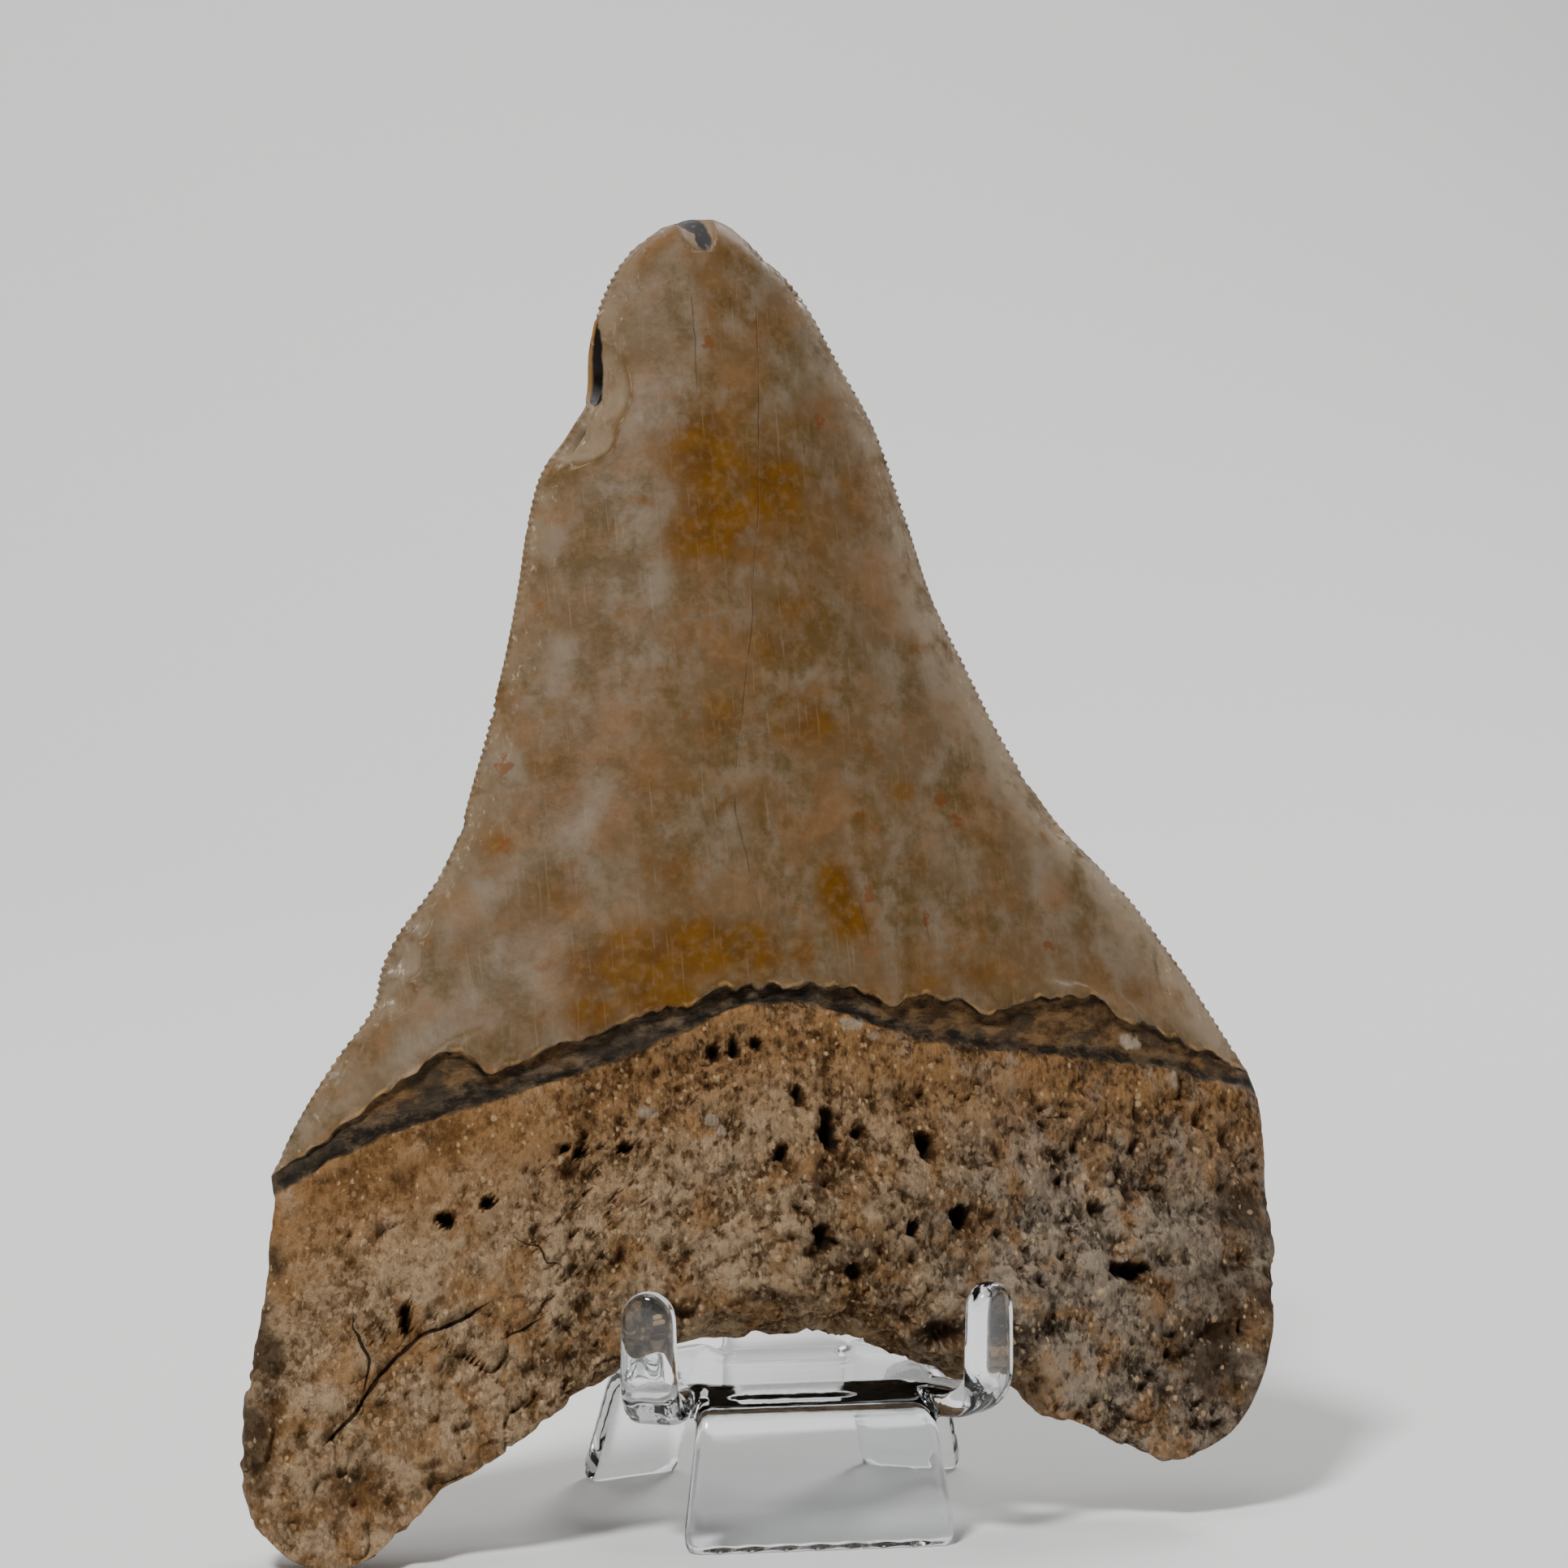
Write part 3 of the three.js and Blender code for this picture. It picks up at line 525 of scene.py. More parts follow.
def carve(verts, facts, tris):
    """The points moved for each zone's grain and all damage, and marks of both for the material."""
    x, _, s = verts.T
    enamel, root, edge, face, thick, rim = facts.T
    shown = face > 0
    is_root = 1 - smooth(root, -0.3, 0.3)
    is_enamel = smooth(enamel, -0.1, 0.2)
    is_band = np.clip(1 - is_root - is_enamel, 0, 1)
    relief, pores, worn, grain = bone_relief(verts, root, edge)
    band = 0.14 * noise(verts, (0.8, 0.8, 3), 5) + 0.2 * noise(verts, 1.8, 6)
    waves = enamel_relief(verts, edge)
    move = is_root * grain + is_band * band + is_enamel * waves * smooth(edge, -0.2, 1)

    pits = np.zeros_like(x)
    for px, ps, wide, high, depth in PITS:
        r = np.hypot((x - px) / wide, (s - ps) / high) * (1 + 0.45 * noise(verts, 0.9, 21))
        pits = np.maximum(pits, 1.5 * depth * np.clip(1 - r**2, 0, 1) ** 0.6)
    wander = 0.5 * noise(verts, 1.7, 22) + 0.25 * noise(verts, 0.8, 24)
    crack, which, share = nearest_line(x + wander, s + wander, [knots for _, knots in CRACKS], 2.4)
    depth_of_crack = np.array([deep for deep, _ in CRACKS])[which]
    cracks = 0.7 * depth_of_crack * share * np.clip(1 - np.abs(crack) / 0.9, 0, 1)
    lumps = spots(x, s, GRAINS, 2) * (1 + 0.8 * noise(verts, 0.7, 23))
    move += 0.45 * lumps * shown - np.maximum(pits, cracks) * is_root * shown

    chip = np.zeros_like(x)
    for px, ps, wide, high, depth in CHIPS:
        r = ((x - px) / wide) ** 2 + ((s - ps) / high) ** 2 + 0.12 * noise(verts, 2.2, 31)
        chip = np.maximum(chip, depth * np.clip(1 - r, 0, 1) ** 0.9)
    chip = np.minimum(chip, 0.75 * thick) * shown
    move -= chip
    move = np.where(rim > 0, 0.3 * move - 0.2 * is_root, move)
    out = verts + normals(verts, tris) * move[:, None]
    out[:, 0] += serrations(verts, enamel, rim)

    hollow = np.maximum(pits * is_root * shown, is_root * np.maximum(0.42 * pores, 0.7 * worn))
    hair, _, hair_share = nearest_line(x + 0.25 * wander, s, HAIRLINES, 4.0)
    rear, _, rear_share = nearest_line(x + 0.25 * wander, s, BACK_HAIRLINES, 4.0)
    hair, hair_share = np.where(shown, hair, rear), np.where(shown, hair_share, rear_share)
    return out, {
        "hollow": np.clip(hollow, 0, 1), "relief": np.clip(0.5 + 0.55 * relief, 0, 1), "chip": chip,
        "cleft": np.where((share > 0) & shown, crack, FAR), "cleft_share": share * depth_of_crack,
        "hair": np.where(hair_share > 0, hair, FAR), "hair_share": hair_share}


def to_frame(p):
    """From the tooth's plane to the object's frame, in metres."""
    y = p[:, 1] * math.cos(LEAN) + p[:, 2] * math.sin(LEAN)
    z = -p[:, 1] * math.sin(LEAN) + p[:, 2] * math.cos(LEAN)
    return (np.stack([p[:, 0], y, z], -1) + SEAT) * MM


def mesh_object(name, verts, tris, places):
    mesh = bpy.data.meshes.new(name)
    mesh.vertices.add(len(verts))
    mesh.vertices.foreach_set("co", verts.astype(np.float32).ravel())
    mesh.loops.add(3 * len(tris))
    mesh.loops.foreach_set("vertex_index", tris.astype(np.int32).ravel())
    mesh.polygons.add(len(tris))
    mesh.polygons.foreach_set("loop_start", np.arange(0, 3 * len(tris), 3, dtype=np.int32))
    mesh.polygons.foreach_set("use_smooth", np.ones(len(tris), bool))
    mesh.uv_layers.new(name="OFBake").data.foreach_set("uv", places.astype(np.float32).ravel())
    mesh.update(calc_edges=True)
    obj = bpy.data.objects.new(name, mesh)
    bpy.context.scene.collection.objects.link(obj)
    return obj


def put(mesh, name, values):
    """Keeps a value or a vector for each point of the mesh, for the material."""
    kind, part = ("FLOAT_VECTOR", "vector") if values.ndim == 2 else ("FLOAT", "value")
    field = mesh.attributes.new(name, kind, "POINT")
    field.data.foreach_set(part, values.astype(np.float32).ravel())


class Shader:
    """A material's nodes, added one call each."""

    def __init__(self, name):
        self.material = bpy.data.materials.new(name)
        self.material.use_nodes = True
        self.tree = self.material.node_tree
        self.skin = self.tree.nodes["Principled BSDF"]

    def add(self, kind, **settings):
        node = self.tree.nodes.new(kind)
        for key, value in settings.items():
            setattr(node, key, value)
        return node

    def set(self, socket, value):
        if isinstance(value, bpy.types.NodeSocket):
            self.tree.links.new(value, socket)
        elif isinstance(value, tuple) and len(value) == 3 and len(socket.default_value) == 4:
            socket.default_value = (*value, 1)
        else:
            socket.default_value = value

    def field(self, name):
        return self.add("ShaderNodeAttribute", attribute_name=name).outputs["Fac"]

    def place(self, scale=(1, 1, 1)):
        source = self.add("ShaderNodeAttribute", attribute_name="place").outputs["Vector"]
        node = self.add("ShaderNodeVectorMath", operation="MULTIPLY")
        self.set(node.inputs[0], source)
        node.inputs[1].default_value = scale
        return node.outputs[0]

    def math(self, operation, a, b=0.0, clamp=False):
        node = self.add("ShaderNodeMath", operation=operation, use_clamp=clamp)
        self.set(node.inputs[0], a)
        self.set(node.inputs[1], b)
        return node.outputs[0]

    def times(self, a, b):
        return self.math("MULTIPLY", a, b)

    def plus(self, a, b):
        return self.math("ADD", a, b)

    def noise(self, where, size, detail=4.0, rough=0.55):
        node = self.add("ShaderNodeTexNoise")
        self.set(node.inputs["Vector"], where)
        node.inputs["Scale"].default_value = 1 / size
        node.inputs["Detail"].default_value = detail
        node.inputs["Roughness"].default_value = rough
        return node.outputs["Fac"]

    def cells(self, where, size):
        """Distance from the middle of the nearest scattered cell, and a random number for it."""
        node = self.add("ShaderNodeTexVoronoi")
        self.set(node.inputs["Vector"], where)
        node.inputs["Scale"].default_value = 1 / size
        split = self.add("ShaderNodeSeparateColor")
        self.set(split.inputs[0], node.outputs["Color"])
        return node.outputs["Distance"], split.outputs[0]

    def step(self, value, lo, hi):
        node = self.add("ShaderNodeMapRange", interpolation_type="SMOOTHSTEP")
        self.set(node.inputs["Value"], value)
        node.inputs["From Min"].default_value = min(lo, hi)
        node.inputs["From Max"].default_value = max(lo, hi)
        node.inputs["To Min"].default_value = 0.0 if lo < hi else 1.0
        node.inputs["To Max"].default_value = 1.0 if lo < hi else 0.0
        return node.outputs["Result"]

    def blend(self, share, a, b, kind="MIX"):
        node = self.add("ShaderNodeMix", data_type="RGBA", blend_type=kind)
        self.set(node.inputs["Factor"], share)
        self.set(node.inputs[6], a)
        self.set(node.inputs[7], b)
        return node.outputs[2]

    def wash(self, tone, share, strength, colour):
        """The tone with a colour laid over it."""
        return self.blend(self.times(share, strength), tone, colour)

    def level(self, share, a, b):
        node = self.add("ShaderNodeMix", data_type="FLOAT")
        self.set(node.inputs["Factor"], share)
        self.set(node.inputs[2], a)
        self.set(node.inputs[3], b)
        return node.outputs[0]

    def bump(self, height, distance, strength=1.0):
        node = self.add("ShaderNodeBump")
        node.inputs["Strength"].default_value = strength
        node.inputs["Distance"].default_value = distance
        self.set(node.inputs["Height"], height)
        self.set(self.skin.inputs["Normal"], node.outputs["Normal"])


# Linear colours of the tooth's material
ENAMEL = {
    "grey": (0.122, 0.080, 0.040), "warm": (0.120, 0.066, 0.025), "ochre": (0.084, 0.031, 0.0007),
    "gold": (0.134, 0.053, 0.001), "scratch": (0.28, 0.205, 0.130), "dust": (0.21, 0.140, 0.075),
    "speck": (0.14, 0.042, 0.006), "hair": (0.06, 0.034, 0.014), "border": (0.24, 0.175, 0.110),
    # The dark serration colour is painted shade in the notches between the serrations.
    # The pale edge glints are painted highlights along the flaked cutting edges.
    # The right flank's pale colour is partly the paler flaked enamel and partly painted light on the
    # side turned away from the key lamp.
    "pale_flank_and_painted_light": (0.29, 0.225, 0.155), "painted_glint": (0.50, 0.400, 0.285), "painted_notch_shade": (0.080, 0.040, 0.014),
    # The bright golden line along the enamel's lower edge is a painted highlight.
    "painted_lip_highlight": (0.34, 0.190, 0.070)}
# Clouds of the enamel: stretch, size, detail, roughness, from, to, strength, colour
CLOUDS = [
    ((1.1, 0, 0.8), 6.0, 5, 0.60, 0.42, 0.64, 0.8, (0.190, 0.148, 0.102)),
    ((0.8, 0, 0.9), 5.2, 5, 0.62, 0.47, 0.66, 0.65, (0.185, 0.094, 0.038)),
    ((1, 0, 0.85), 6.5, 6, 0.70, 0.46, 0.63, 0.80, (0.076, 0.042, 0.006)),
    ((0.9, 0, 1), 2.6, 4, 0.66, 0.52, 0.74, 0.6, (0.135, 0.050, 0.005))]
CHIP = {
    "shell": (0.24, 0.180, 0.120), "inner": (0.17, 0.110, 0.060), "silk": (0.29, 0.215, 0.140),
    "flake": (0.36, 0.270, 0.175), "black": (0.008, 0.006, 0.005), "tip": (0.028, 0.026, 0.024),
    "tip_grain": (0.18, 0.15, 0.12), "gilt": (0.22, 0.115, 0.030)}
BAND = {
    "slate_dark": (0.018, 0.012, 0.006), "slate": (0.145, 0.100, 0.058),
    "brown_dark": (0.038, 0.018, 0.006), "brown": (0.195, 0.108, 0.044),
    # The near-black line just under the enamel's edge is painted shadow under its ledge.
    "plate": (0.034, 0.025, 0.016), "line": (0.014, 0.009, 0.004), "seam": (0.008, 0.006, 0.004)}
BONE = {
    "umber": (0.082, 0.038, 0.010), "lobe_umber": (0.150, 0.080, 0.032), "tan": (0.540, 0.375, 0.220),
    "russet": (0.060, 0.024, 0.005), "lobe_russet": (0.190, 0.088, 0.026),
    "rusty": (0.390, 0.195, 0.066), "grey_dark": (0.040, 0.026, 0.014), "grey": (0.430, 0.335, 0.240),
    "grime": (0.040, 0.020, 0.008), "crystal": (0.68, 0.47, 0.26), "pore": (0.050, 0.023, 0.007),
    # The near-black for cracks and the deepest hollows is painted shade.
    "deep": (0.016, 0.009, 0.004), "pale_dark": (0.30, 0.22, 0.14), "pale": (0.60, 0.50, 0.38)}
# The stand's plastic: its colour, and the size of its haze and of its ripples in metres
CLEAR = (0.965, 0.985, 0.99)
HAZE_SIZE, RIPPLE_SIZE = 0.006, 0.0011


def shared_fields(sh):
    """What several zones of the tooth's material use; each zone adds its own to it."""
    at = SimpleNamespace(spot=sh.place(), flat=sh.place((1, 0, 1)))
    split = sh.add("ShaderNodeSeparateXYZ")
    sh.set(split.inputs[0], at.spot)
    at.x, at.s = split.outputs[0], split.outputs[2]
    at.enamel_mm, at.root_mm, at.edge = map(sh.field, ("enamel_mm", "root_mm", "edge_mm"))
    at.fine, at.drift = sh.noise(at.spot, 0.9, 4), sh.noise(at.spot, 3.4, 4)
    at.mottle = sh.noise(at.spot, 3.2, 5, 0.62)
    at.ragged = sh.times(sh.math("SUBTRACT", sh.noise(at.spot, 1.4, 4), 0.5), 1.3)
    return at


def enamel_colour(sh, at):
    """Clouds of cream, grey and olive, ochre blotches, specks, hairline cracks and a pale border, a
    right flank partly lifted by painted light, painted glints, painted shade between the serrations
    and a painted highlight along the enamel's edge.
    """
    s, flat, edge, mottle = at.s, at.flat, at.edge, at.mottle
    cloud = sh.plus(sh.noise(flat, 14, 3), sh.times(sh.step(s, 30, 95), 0.12))
    tone = sh.blend(sh.step(cloud, 0.40, 0.66), ENAMEL["grey"], ENAMEL["warm"])
    for stretch, size, detail, rough, lo, hi, strength, colour in CLOUDS:
        cloud = sh.step(sh.noise(sh.place(stretch), size, detail, rough), lo, hi)
        tone = sh.wash(tone, cloud, strength, colour)
    ochre = sh.times(sh.field("ochre"), sh.plus(sh.times(mottle, 1.3), 0.35))
    gold = sh.blend(sh.step(mottle, 0.36, 0.64), ENAMEL["ochre"], ENAMEL["gold"])
    tone = sh.wash(tone, sh.step(ochre, 0.08, 0.78), 0.95, gold)
    scratch = sh.step(sh.noise(sh.place((1, 0, 0.05)), 0.34, 2), 0.60, 0.74)
    tone = sh.wash(tone, scratch, 0.24, ENAMEL["scratch"])
    tone = sh.wash(tone, sh.step(at.fine, 0.44, 0.72), 0.30, ENAMEL["dust"])
    frayed = sh.plus(sh.times(sh.noise(flat, 0.7, 3, 0.65), 4.0), -1.0)
    speck = sh.step(sh.times(sh.field("speck"), frayed), 0.35, 0.65)
    tone = sh.wash(tone, speck, 0.7, ENAMEL["speck"])
    hair = sh.step(sh.math("ABSOLUTE", sh.field("hair")), 0.09, 0.02)
    hair = sh.times(hair, sh.field("hair_share"))
    at.hair = sh.times(hair, sh.step(mottle, 0.38, 0.58))
    tone = sh.wash(tone, at.hair, 0.45, ENAMEL["hair"])
    at.border = sh.times(sh.step(edge, 3.2, 0.2), sh.step(mottle, 0.34, 0.60))
    tone = sh.wash(tone, at.border, 0.6, ENAMEL["border"])
    # A paler zone on the right flank: partly the paler flaked enamel, partly painted light lifting
    # the side turned away from the key lamp.
    pale_flank_and_painted_light = sh.times(sh.step(edge, 8.0, 1.0), sh.step(at.x, 2, 14))
    pale_flank_and_painted_light = sh.times(pale_flank_and_painted_light, sh.step(mottle, 0.30, 0.58))
    tone = sh.wash(tone, pale_flank_and_painted_light, 0.75, ENAMEL["pale_flank_and_painted_light"])
    # Painted highlights: small pale glints along the flaked cutting edges.
    painted_glint = sh.step(sh.noise(sh.place((1, 0, 0.55)), 0.7, 5, 0.72), 0.56, 0.68)
    painted_glint = sh.times(painted_glint, sh.times(sh.step(edge, 4.0, 0.8), sh.step(mottle, 0.36, 0.52)))
    tone = sh.wash(tone, painted_glint, 0.7, ENAMEL["painted_glint"])
    # Painted shade in the notches between the serrations, in step with their pitch.
    painted_notch_shade = sh.plus(sh.times(s, 2 * math.pi / SERRATION_PITCH), sh.times(at.ragged, 3.0))
    painted_notch_shade = sh.times(sh.step(sh.math("SINE", painted_notch_shade), -0.2, 0.8), sh.step(edge, 0.6, 0.2))
    tone = sh.wash(tone, painted_notch_shade, 0.4, ENAMEL["painted_notch_shade"])
    # A painted highlight: a bright golden line along the enamel's lower edge, broken here and there.
    painted_lip_highlight = sh.step(sh.math("ABSOLUTE", sh.math("SUBTRACT", at.enamel_mm, 0.25)), 0.30, 0.0)
    painted_lip_highlight = sh.times(painted_lip_highlight, sh.step(sh.noise(flat, 1.7, 4, 0.6), 0.46, 0.60))
    return sh.wash(tone, painted_lip_highlight, 0.7, ENAMEL["painted_lip_highlight"])


def chipped_colour(sh, at, tone):
    """Silky chips with flaked rims, and the dark broken places beside the notch and at the tip."""
    chip = sh.field("chip")
    at.scoop = sh.step(chip, 0.10, 0.5)
    shell = sh.blend(sh.step(at.mottle, 0.42, 0.62), CHIP["shell"], CHIP["inner"])
    silk = sh.step(sh.noise(sh.place((0.9, 0, 0.25)), 0.5, 4, 0.65), 0.42, 0.62)
    shell = sh.wash(shell, silk, 0.5, CHIP["silk"])
    tone = sh.wash(tone, at.scoop, 0.7, shell)
    flake = sh.plus(sh.plus(chip, -0.07), sh.times(at.ragged, 0.05))
    flake = sh.step(sh.math("ABSOLUTE", flake), 0.06, 0.0)
    flake = sh.times(flake, sh.step(sh.noise(at.flat, 1.5, 3), 0.42, 0.62))
    tone = sh.wash(tone, flake, 0.5, CHIP["flake"])
    at.black = sh.step(sh.plus(sh.field("broken"), sh.times(at.ragged, 0.35)), 0.34, 0.56)
    at.tip = sh.step(at.s, 99, 101)
    burnt = sh.blend(at.tip, CHIP["black"], CHIP["tip"])
    grains = sh.times(sh.step(at.fine, 0.56, 0.66), at.tip)
    burnt = sh.wash(burnt, grains, 0.5, CHIP["tip_grain"])
    gilt = sh.level(at.tip, sh.step(at.edge, 0.30, 0.12), 0.0)
    return sh.blend(at.black, tone, sh.blend(gilt, burnt, CHIP["gilt"]))


def band_colour(sh, at):
    """Flaky bourlette, streaked along itself, dark low down, browner above and on the short side,
    with a painted shadow line under the enamel's edge.
    """
    grain = at.grain = sh.noise(sh.place((0.5, 1, 1.0)), 1.2, 6, 0.72)
    slate = sh.blend(sh.step(grain, 0.36, 0.66), BAND["slate_dark"], BAND["slate"])
    brown = sh.blend(sh.step(grain, 0.34, 0.66), BAND["brown_dark"], BAND["brown"])
    swing = sh.math("SUBTRACT", at.drift, 0.5)
    browner = sh.plus(sh.times(swing, 7.0), sh.times(sh.step(at.x, 2, 14), 1.2))
    tone = sh.blend(sh.step(sh.plus(browner, at.root_mm), 1.0, 3.2), slate, brown)
    plate = sh.step(sh.noise(sh.place((0.6, 1, 1)), 4.0, 5, 0.62), 0.53, 0.59)
    tone = sh.wash(tone, plate, 0.65, BAND["plate"])
    seam = sh.math("ABSOLUTE", sh.plus(sh.plus(at.root_mm, -0.6), sh.times(swing, 3.0)))
    seam = sh.step(sh.plus(seam, sh.times(at.mottle, -1.5)), 0.0, -0.60)
    at.seam = sh.times(seam, sh.level(sh.step(grain, 0.38, 0.60), 1.0, 0.45))
    # Painted shadow: a dark line just under the enamel's ledge, broken here and there.
    under = sh.step(sh.math("ABSOLUTE", sh.plus(at.enamel_mm, 0.12)), 0.30, 0.0)
    broken_ledge_shadow = sh.step(sh.noise(at.flat, 2.6, 4, 0.6), 0.47, 0.58)
    return sh.wash(tone, under, broken_ledge_shadow, BAND["line"])


def bone_colour(sh, at):
    """Rough bone, tan on the long lobe, grey on the short one, rusty below the bourlette; paler on
    its relief, with painted shade in its hollows and cracks.
    """
    x, drift, ragged = at.x, at.drift, at.ragged
    hollow = sh.field("hollow")
    at.fibre = sh.noise(sh.place((1, 1, 0.75)), 1.0, 6, 0.76)
    at.groove = sh.noise(sh.place((1, 1, 0.2)), 0.55, 4, 0.6)
    at.knob, shade = sh.cells(sh.place((1, 1, 0.8)), 0.62)
    crumb, tint = sh.cells(sh.place((1, 1, 0.7)), 0.34)
    # Paler on the high relief and darker down in the hollows: random grain and tint, with painted
    # shade of the relief mixed in.
    grain_and_relief_shade = sh.plus(sh.times(at.fibre, 2.5), sh.times(shade, 0.25))
    grain_and_relief_shade = sh.plus(sh.times(sh.field("relief"), 1.1), grain_and_relief_shade)
    grain_and_relief_shade = sh.plus(grain_and_relief_shade, sh.times(tint, 0.7))
    worn = sh.step(sh.plus(grain_and_relief_shade, sh.times(hollow, -1.3)), 1.45, 2.80)
    lobe = sh.step(sh.plus(x, sh.times(ragged, 5.0)), -18, -34)
    tan = sh.blend(worn, sh.blend(lobe, BONE["umber"], BONE["lobe_umber"]), BONE["tan"])
    rusty = sh.blend(worn, sh.blend(lobe, BONE["russet"], BONE["lobe_russet"]), BONE["rusty"])
    grey = sh.blend(worn, BONE["grey_dark"], BONE["grey"])
    to_grey = sh.plus(sh.times(sh.step(x, -4, 30), 0.62), sh.times(sh.noise(at.spot, 6, 4), 0.9))
    bone = sh.blend(sh.step(to_grey, 0.50, 0.95), tan, grey)
    patches = sh.step(sh.noise(at.spot, 4.5, 5, 0.66), 0.46, 0.62)
    high = sh.times(sh.step(at.root_mm, -15.0, -2.0), sh.step(drift, 0.25, 0.50))
    rust = sh.math("MAXIMUM", sh.times(patches, 0.75), sh.times(high, 0.9))
    bone = sh.blend(rust, bone, rusty)
    grime = sh.times(sh.field("stain"), sh.plus(sh.times(at.mottle, 3.0), -0.6))
    bone = sh.wash(bone, sh.step(grime, 0.12, 0.8), 0.82, BONE["grime"])
    crystal = sh.times(sh.step(shade, 0.88, 0.93), sh.step(drift, 0.46, 0.58))
    crystal = sh.times(crystal, sh.step(at.knob, 0.5, 0.3))
    sugar = sh.times(sh.step(tint, 0.90, 0.94), sh.step(drift, 0.44, 0.54))
    at.crystal = sh.math("MAXIMUM", crystal, sh.times(sugar, sh.step(crumb, 0.55, 0.35)))
    bone = sh.wash(bone, at.crystal, 0.8, BONE["crystal"])
    pores = sh.step(sh.plus(at.fine, at.fibre), 0.84, 0.70)
    bone = sh.wash(bone, pores, sh.level(lobe, 0.7, 0.25), BONE["pore"])
    # Painted shade: the cracks and the deepest hollows filled with near-black.
    cleft = sh.math("ABSOLUTE", sh.field("cleft"))
    cleft = sh.plus(cleft, sh.times(sh.field("cleft_share"), -0.18))
    at.cleft = sh.step(sh.plus(cleft, sh.times(ragged, 0.15)), 0.03, -0.06)
    deep = sh.step(sh.plus(hollow, sh.times(ragged, 0.3)), 0.60, 0.90)
    return sh.wash(bone, sh.math("MAXIMUM", deep, at.cleft), 0.93, BONE["deep"])


def fossil_material():
    sh = Shader("fossil_tooth")
    at = shared_fields(sh)
    enamel = sh.step(sh.plus(at.enamel_mm, sh.times(at.ragged, 0.55)), -0.08, 0.08)
    root = sh.step(sh.plus(at.root_mm, at.ragged), 0.35, -0.35)
    crown = chipped_colour(sh, at, enamel_colour(sh, at))
    body = sh.blend(root, band_colour(sh, at), bone_colour(sh, at))
    body = sh.wash(body, at.seam, 0.93, BAND["seam"])
    pale = sh.step(sh.plus(sh.field("pale"), sh.times(at.ragged, 0.8)), 0.35, 0.6)
    body = sh.wash(body, pale, 0.75, sh.blend(at.fibre, BONE["pale_dark"], BONE["pale"]))
    skin = sh.skin
    sh.set(skin.inputs["Base Color"], sh.blend(enamel, body, crown))

    glassy = sh.math("MAXIMUM", sh.times(at.scoop, 0.8), sh.times(at.border, 0.5))
    gloss = sh.level(glassy, sh.level(at.fine, 0.40, 0.56), 0.24)
    gloss = sh.level(at.black, gloss, sh.level(at.tip, 0.4, 0.5))
    matt = sh.level(root, sh.level(at.grain, 0.45, 0.75), 0.88)
    sh.set(skin.inputs["Roughness"], sh.level(enamel, matt, gloss))
    skin.inputs["IOR"].default_value = 1.5
    skin.inputs["Specular IOR Level"].default_value = 0.15

    rough = sh.plus(sh.times(at.fine, 0.9), sh.times(at.knob, -0.3))
    rough = sh.plus(sh.times(at.fibre, 2.6), rough)
    rough = sh.plus(rough, sh.plus(sh.times(at.crystal, 0.3), sh.times(at.cleft, -0.8)))
    rough = sh.plus(rough, sh.times(at.groove, 1.6))
    polish = sh.plus(sh.times(at.fine, 0.10), sh.times(at.hair, -0.10))
    polish = sh.plus(polish, sh.times(sh.times(at.knob, sh.step(at.edge, 3.2, 0.4)), 0.12))
    polish = sh.level(at.black, polish, 0.0)
    height = sh.level(enamel, sh.level(root, sh.times(at.grain, 1.4), rough), polish)
    sh.bump(height, 0.5 * MM)
    return sh.material


def clear_material():
    sh = Shader("clear_plastic")
    where = sh.add("ShaderNodeTexCoord").outputs["Object"]
    haze = sh.noise(where, HAZE_SIZE, 3)
    ripple = sh.noise(where, RIPPLE_SIZE, 4)
    skin = sh.skin
    sh.set(skin.inputs["Base Color"], CLEAR)
    skin.inputs["Transmission Weight"].default_value = 1.0
    skin.inputs["IOR"].default_value = 1.49
    sh.set(skin.inputs["Roughness"], sh.level(haze, 0.015, 0.06))
    sh.bump(ripple, 0.02 * MM, 0.25)
    return sh.material


def plain(name, colour, roughness):
    sh = Shader(name)
    sh.set(sh.skin.inputs["Base Color"], colour)
    sh.set(sh.skin.inputs["Roughness"], roughness)
    return sh.material


# Tooth: the fine mesh with its marks, in the place of the faceted solid
SHARP = math.radians(75)
verts, facts, tris, places = tooth_mesh()
shaped, marks = carve(verts, facts, tris)
tooth = mesh_object("tooth_fossil", np.clip(to_frame(shaped), *np.array(cad_box)), tris, places)
x, s = verts[:, 0], verts[:, 2]
shown = facts[:, 3] > 0
for name, values in (
    ("place", verts), ("enamel_mm", facts[:, 0]), ("root_mm", facts[:, 1]), ("edge_mm", facts[:, 2]),
    ("ochre", spots(x, s, OCHRE) * shown), *marks.items(),
    ("speck", spots(x, s, [(a, b, r, r, 1) for a, b, r in SPECKS], 2) * shown),
    ("stain", spots(x, s, STAINS)), ("pale", spots(x, s, GRAINS, 2) * shown),
    ("broken", spots(x, s, BROKEN)),
):
    put(tooth.data, name, values)
tooth.data.set_sharp_from_angle(angle=SHARP)
tooth.data.materials.append(fossil_material())
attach(tooth, "root")
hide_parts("tooth")

# Stand: the moulding with its edges and joins rounded off
STAND_VOXEL, SOFTENING, SOFTENING_ROUNDS = 0.28 * MM, 0.5, 12
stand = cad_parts["stand"]
stand.data.materials.clear()
stand.data.materials.append(clear_material())
remesh = stand.modifiers.new("even", "REMESH")
remesh.mode = "VOXEL"
remesh.voxel_size = STAND_VOXEL
remesh.use_smooth_shade = True
soften = stand.modifiers.new("soften", "SMOOTH")
soften.factor = SOFTENING
soften.iterations = SOFTENING_ROUNDS

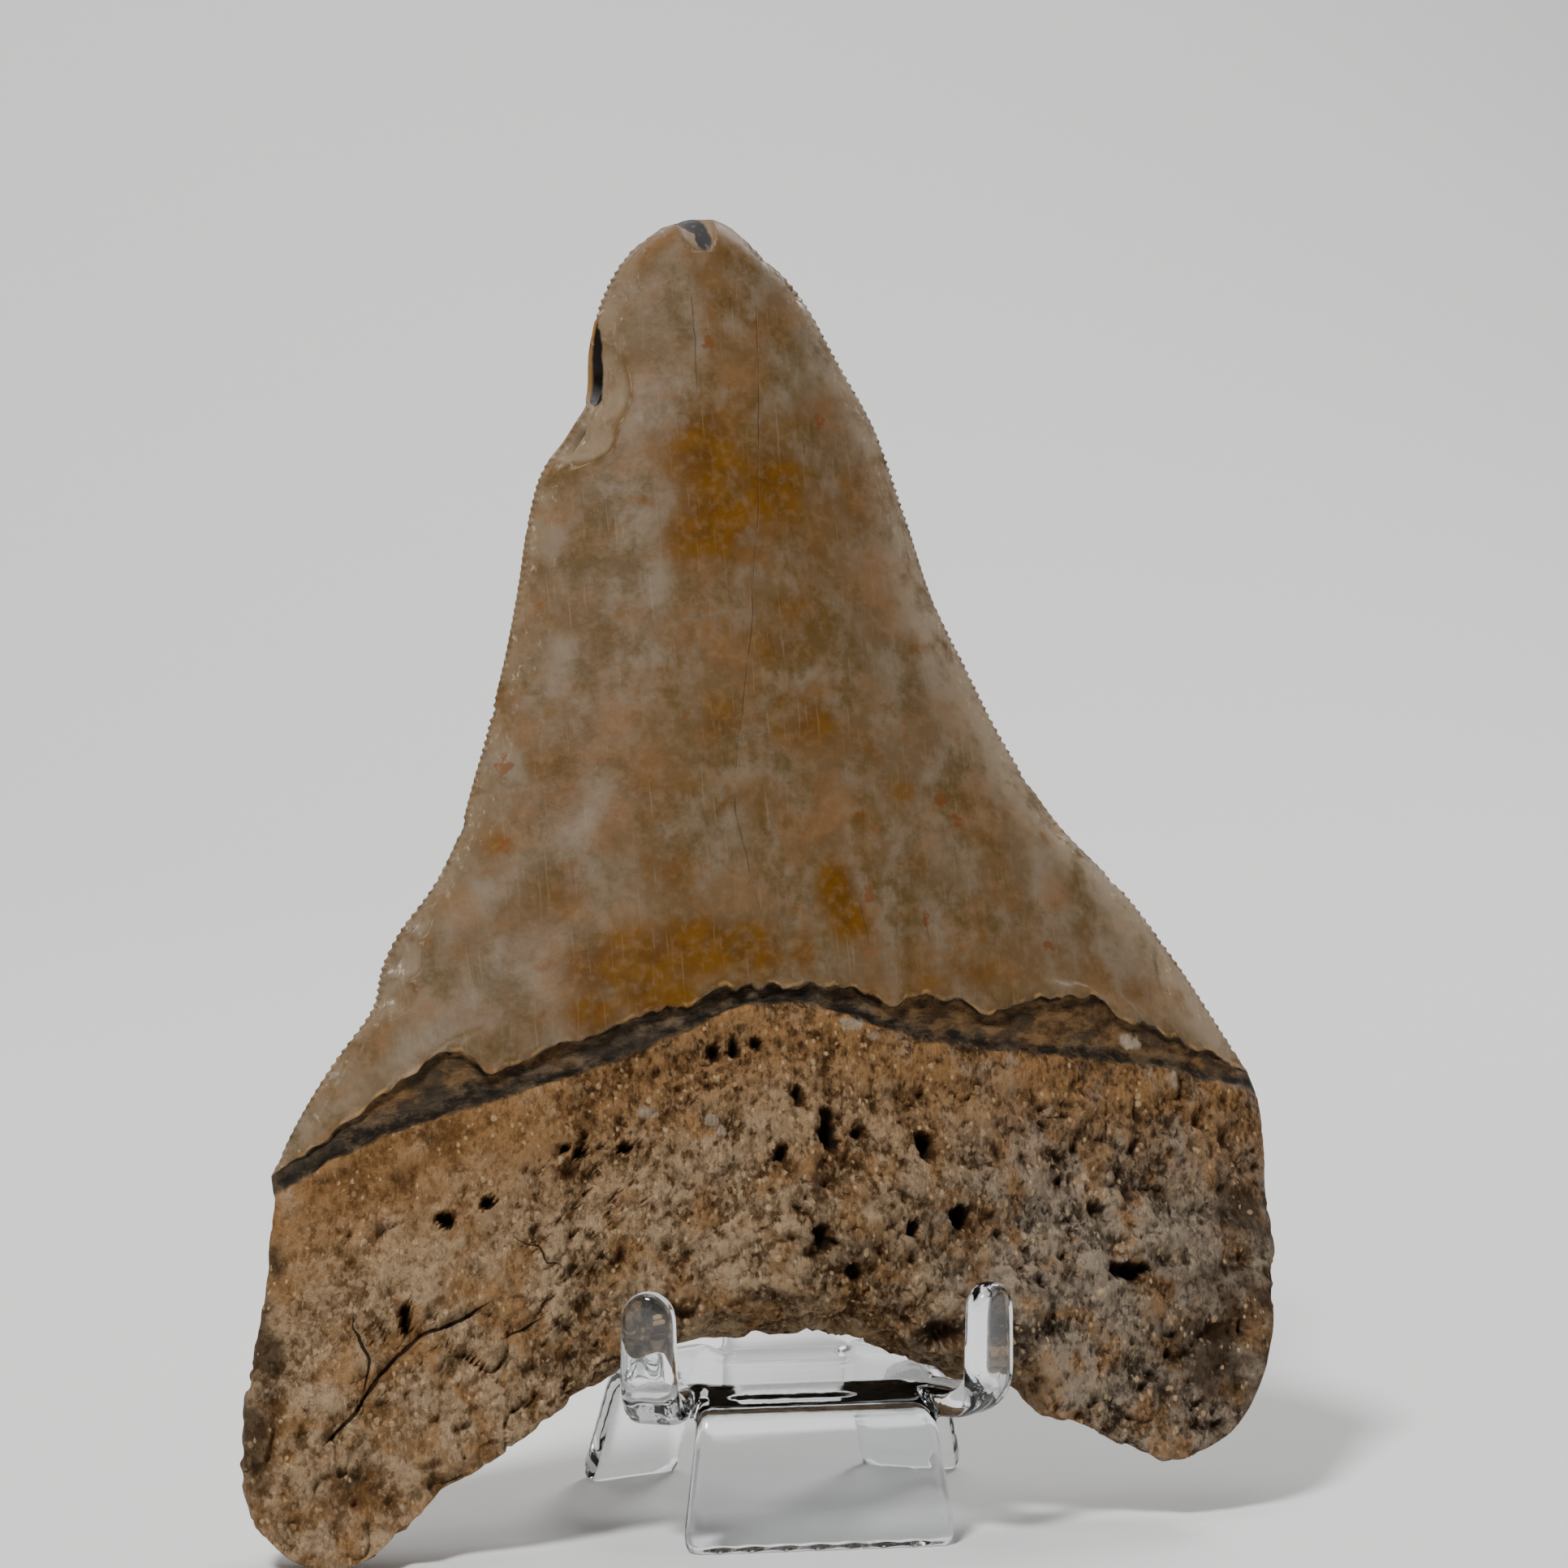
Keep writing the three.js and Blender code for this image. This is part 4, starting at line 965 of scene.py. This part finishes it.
# Floor with a sweep up behind, in metres
FLOOR_FRONT, FLOOR_HALF_WIDTH = -1.6, 2.2
SWEEP_START, SWEEP_RADIUS, SWEEP_STEPS, WALL_TOP = 0.45, 0.5, 14, 2.2
FLOOR_COLOUR, FLOOR_ROUGHNESS = (0.78, 0.78, 0.77), 0.8
steps = [(FLOOR_FRONT, 0.0), (SWEEP_START, 0.0)]
for turn in np.linspace(0.1, math.pi / 2, SWEEP_STEPS):
    reach, rise = SWEEP_RADIUS * math.sin(turn), SWEEP_RADIUS * math.cos(turn)
    steps.append((SWEEP_START + reach, SWEEP_RADIUS - rise))
steps.append((SWEEP_START + SWEEP_RADIUS, WALL_TOP))
ground = [(side * FLOOR_HALF_WIDTH, y, z) for y, z in steps for side in (-1, 1)]
quads = [(2 * k, 2 * k + 1, 2 * k + 3, 2 * k + 2) for k in range(len(steps) - 1)]
floor_mesh = bpy.data.meshes.new("floor")
floor_mesh.from_pydata(ground, [], quads)
floor_mesh.polygons.foreach_set("use_smooth", [True] * len(quads))
floor = bpy.data.objects.new("floor", floor_mesh)
bpy.context.scene.collection.objects.link(floor)
floor_mesh.materials.append(plain("pale_floor", FLOOR_COLOUR, FLOOR_ROUGHNESS))

# Soft lamps: name, place and aim in metres, size, power; and a faint sky
MIDDLE, WALL = (0, 0, 0.06), (0, 0.95, 0.30)
LAMPS = [
    ("key", (-0.44, -0.42, 0.90), MIDDLE, 0.2, 12.0),
    ("fill", (0.90, -0.40, 0.40), MIDDLE, 0.5, 1.4),
    ("rim", (0.46, 0.46, 0.62), MIDDLE, 0.3, 3.5),
    ("backdrop", (0.0, 0.30, 1.20), WALL, 0.8, 5.0)]
SKY_COLOUR, SKY_STRENGTH = (0.9, 0.95, 1.0, 1), 0.04
for name, spot, aim, size, power in LAMPS:
    light = bpy.data.lights.new(name, "AREA")
    light.shape = "DISK"
    light.size = size
    light.energy = power
    lamp = bpy.data.objects.new(name, light)
    lamp.location = spot
    lamp.rotation_euler = (Vector(aim) - Vector(spot)).to_track_quat("-Z", "Y").to_euler()
    bpy.context.scene.collection.objects.link(lamp)
world = bpy.data.worlds.new("studio")
world.use_nodes = True
world.node_tree.nodes["Background"].inputs["Color"].default_value = SKY_COLOUR
world.node_tree.nodes["Background"].inputs["Strength"].default_value = SKY_STRENGTH
bpy.context.scene.world = world

# Camera at the photograph's angle; half the frame is 966 pixels of it, 13.4 to the millimetre
TARGET = Vector((5.069, 6.249, 65.409)) * MM
AZIMUTH, ELEVATION, DISTANCE = math.radians(-14), math.radians(6), 0.5
HALF_FRAME = 966 / (500 * 13.4)
SENSOR = 36
camera_data = bpy.data.cameras.new("camera")
camera_data.sensor_width = SENSOR
camera_data.lens = SENSOR / 2 / HALF_FRAME
camera_data.clip_start = 0.01
camera = bpy.data.objects.new("camera", camera_data)
level = math.cos(ELEVATION)
back = Vector((math.sin(AZIMUTH) * level, -math.cos(AZIMUTH) * level, math.sin(ELEVATION)))
camera.location = TARGET + back * DISTANCE
camera.rotation_euler = (-back).to_track_quat("-Z", "Y").to_euler()
bpy.context.scene.collection.objects.link(camera)
bpy.context.scene.camera = camera
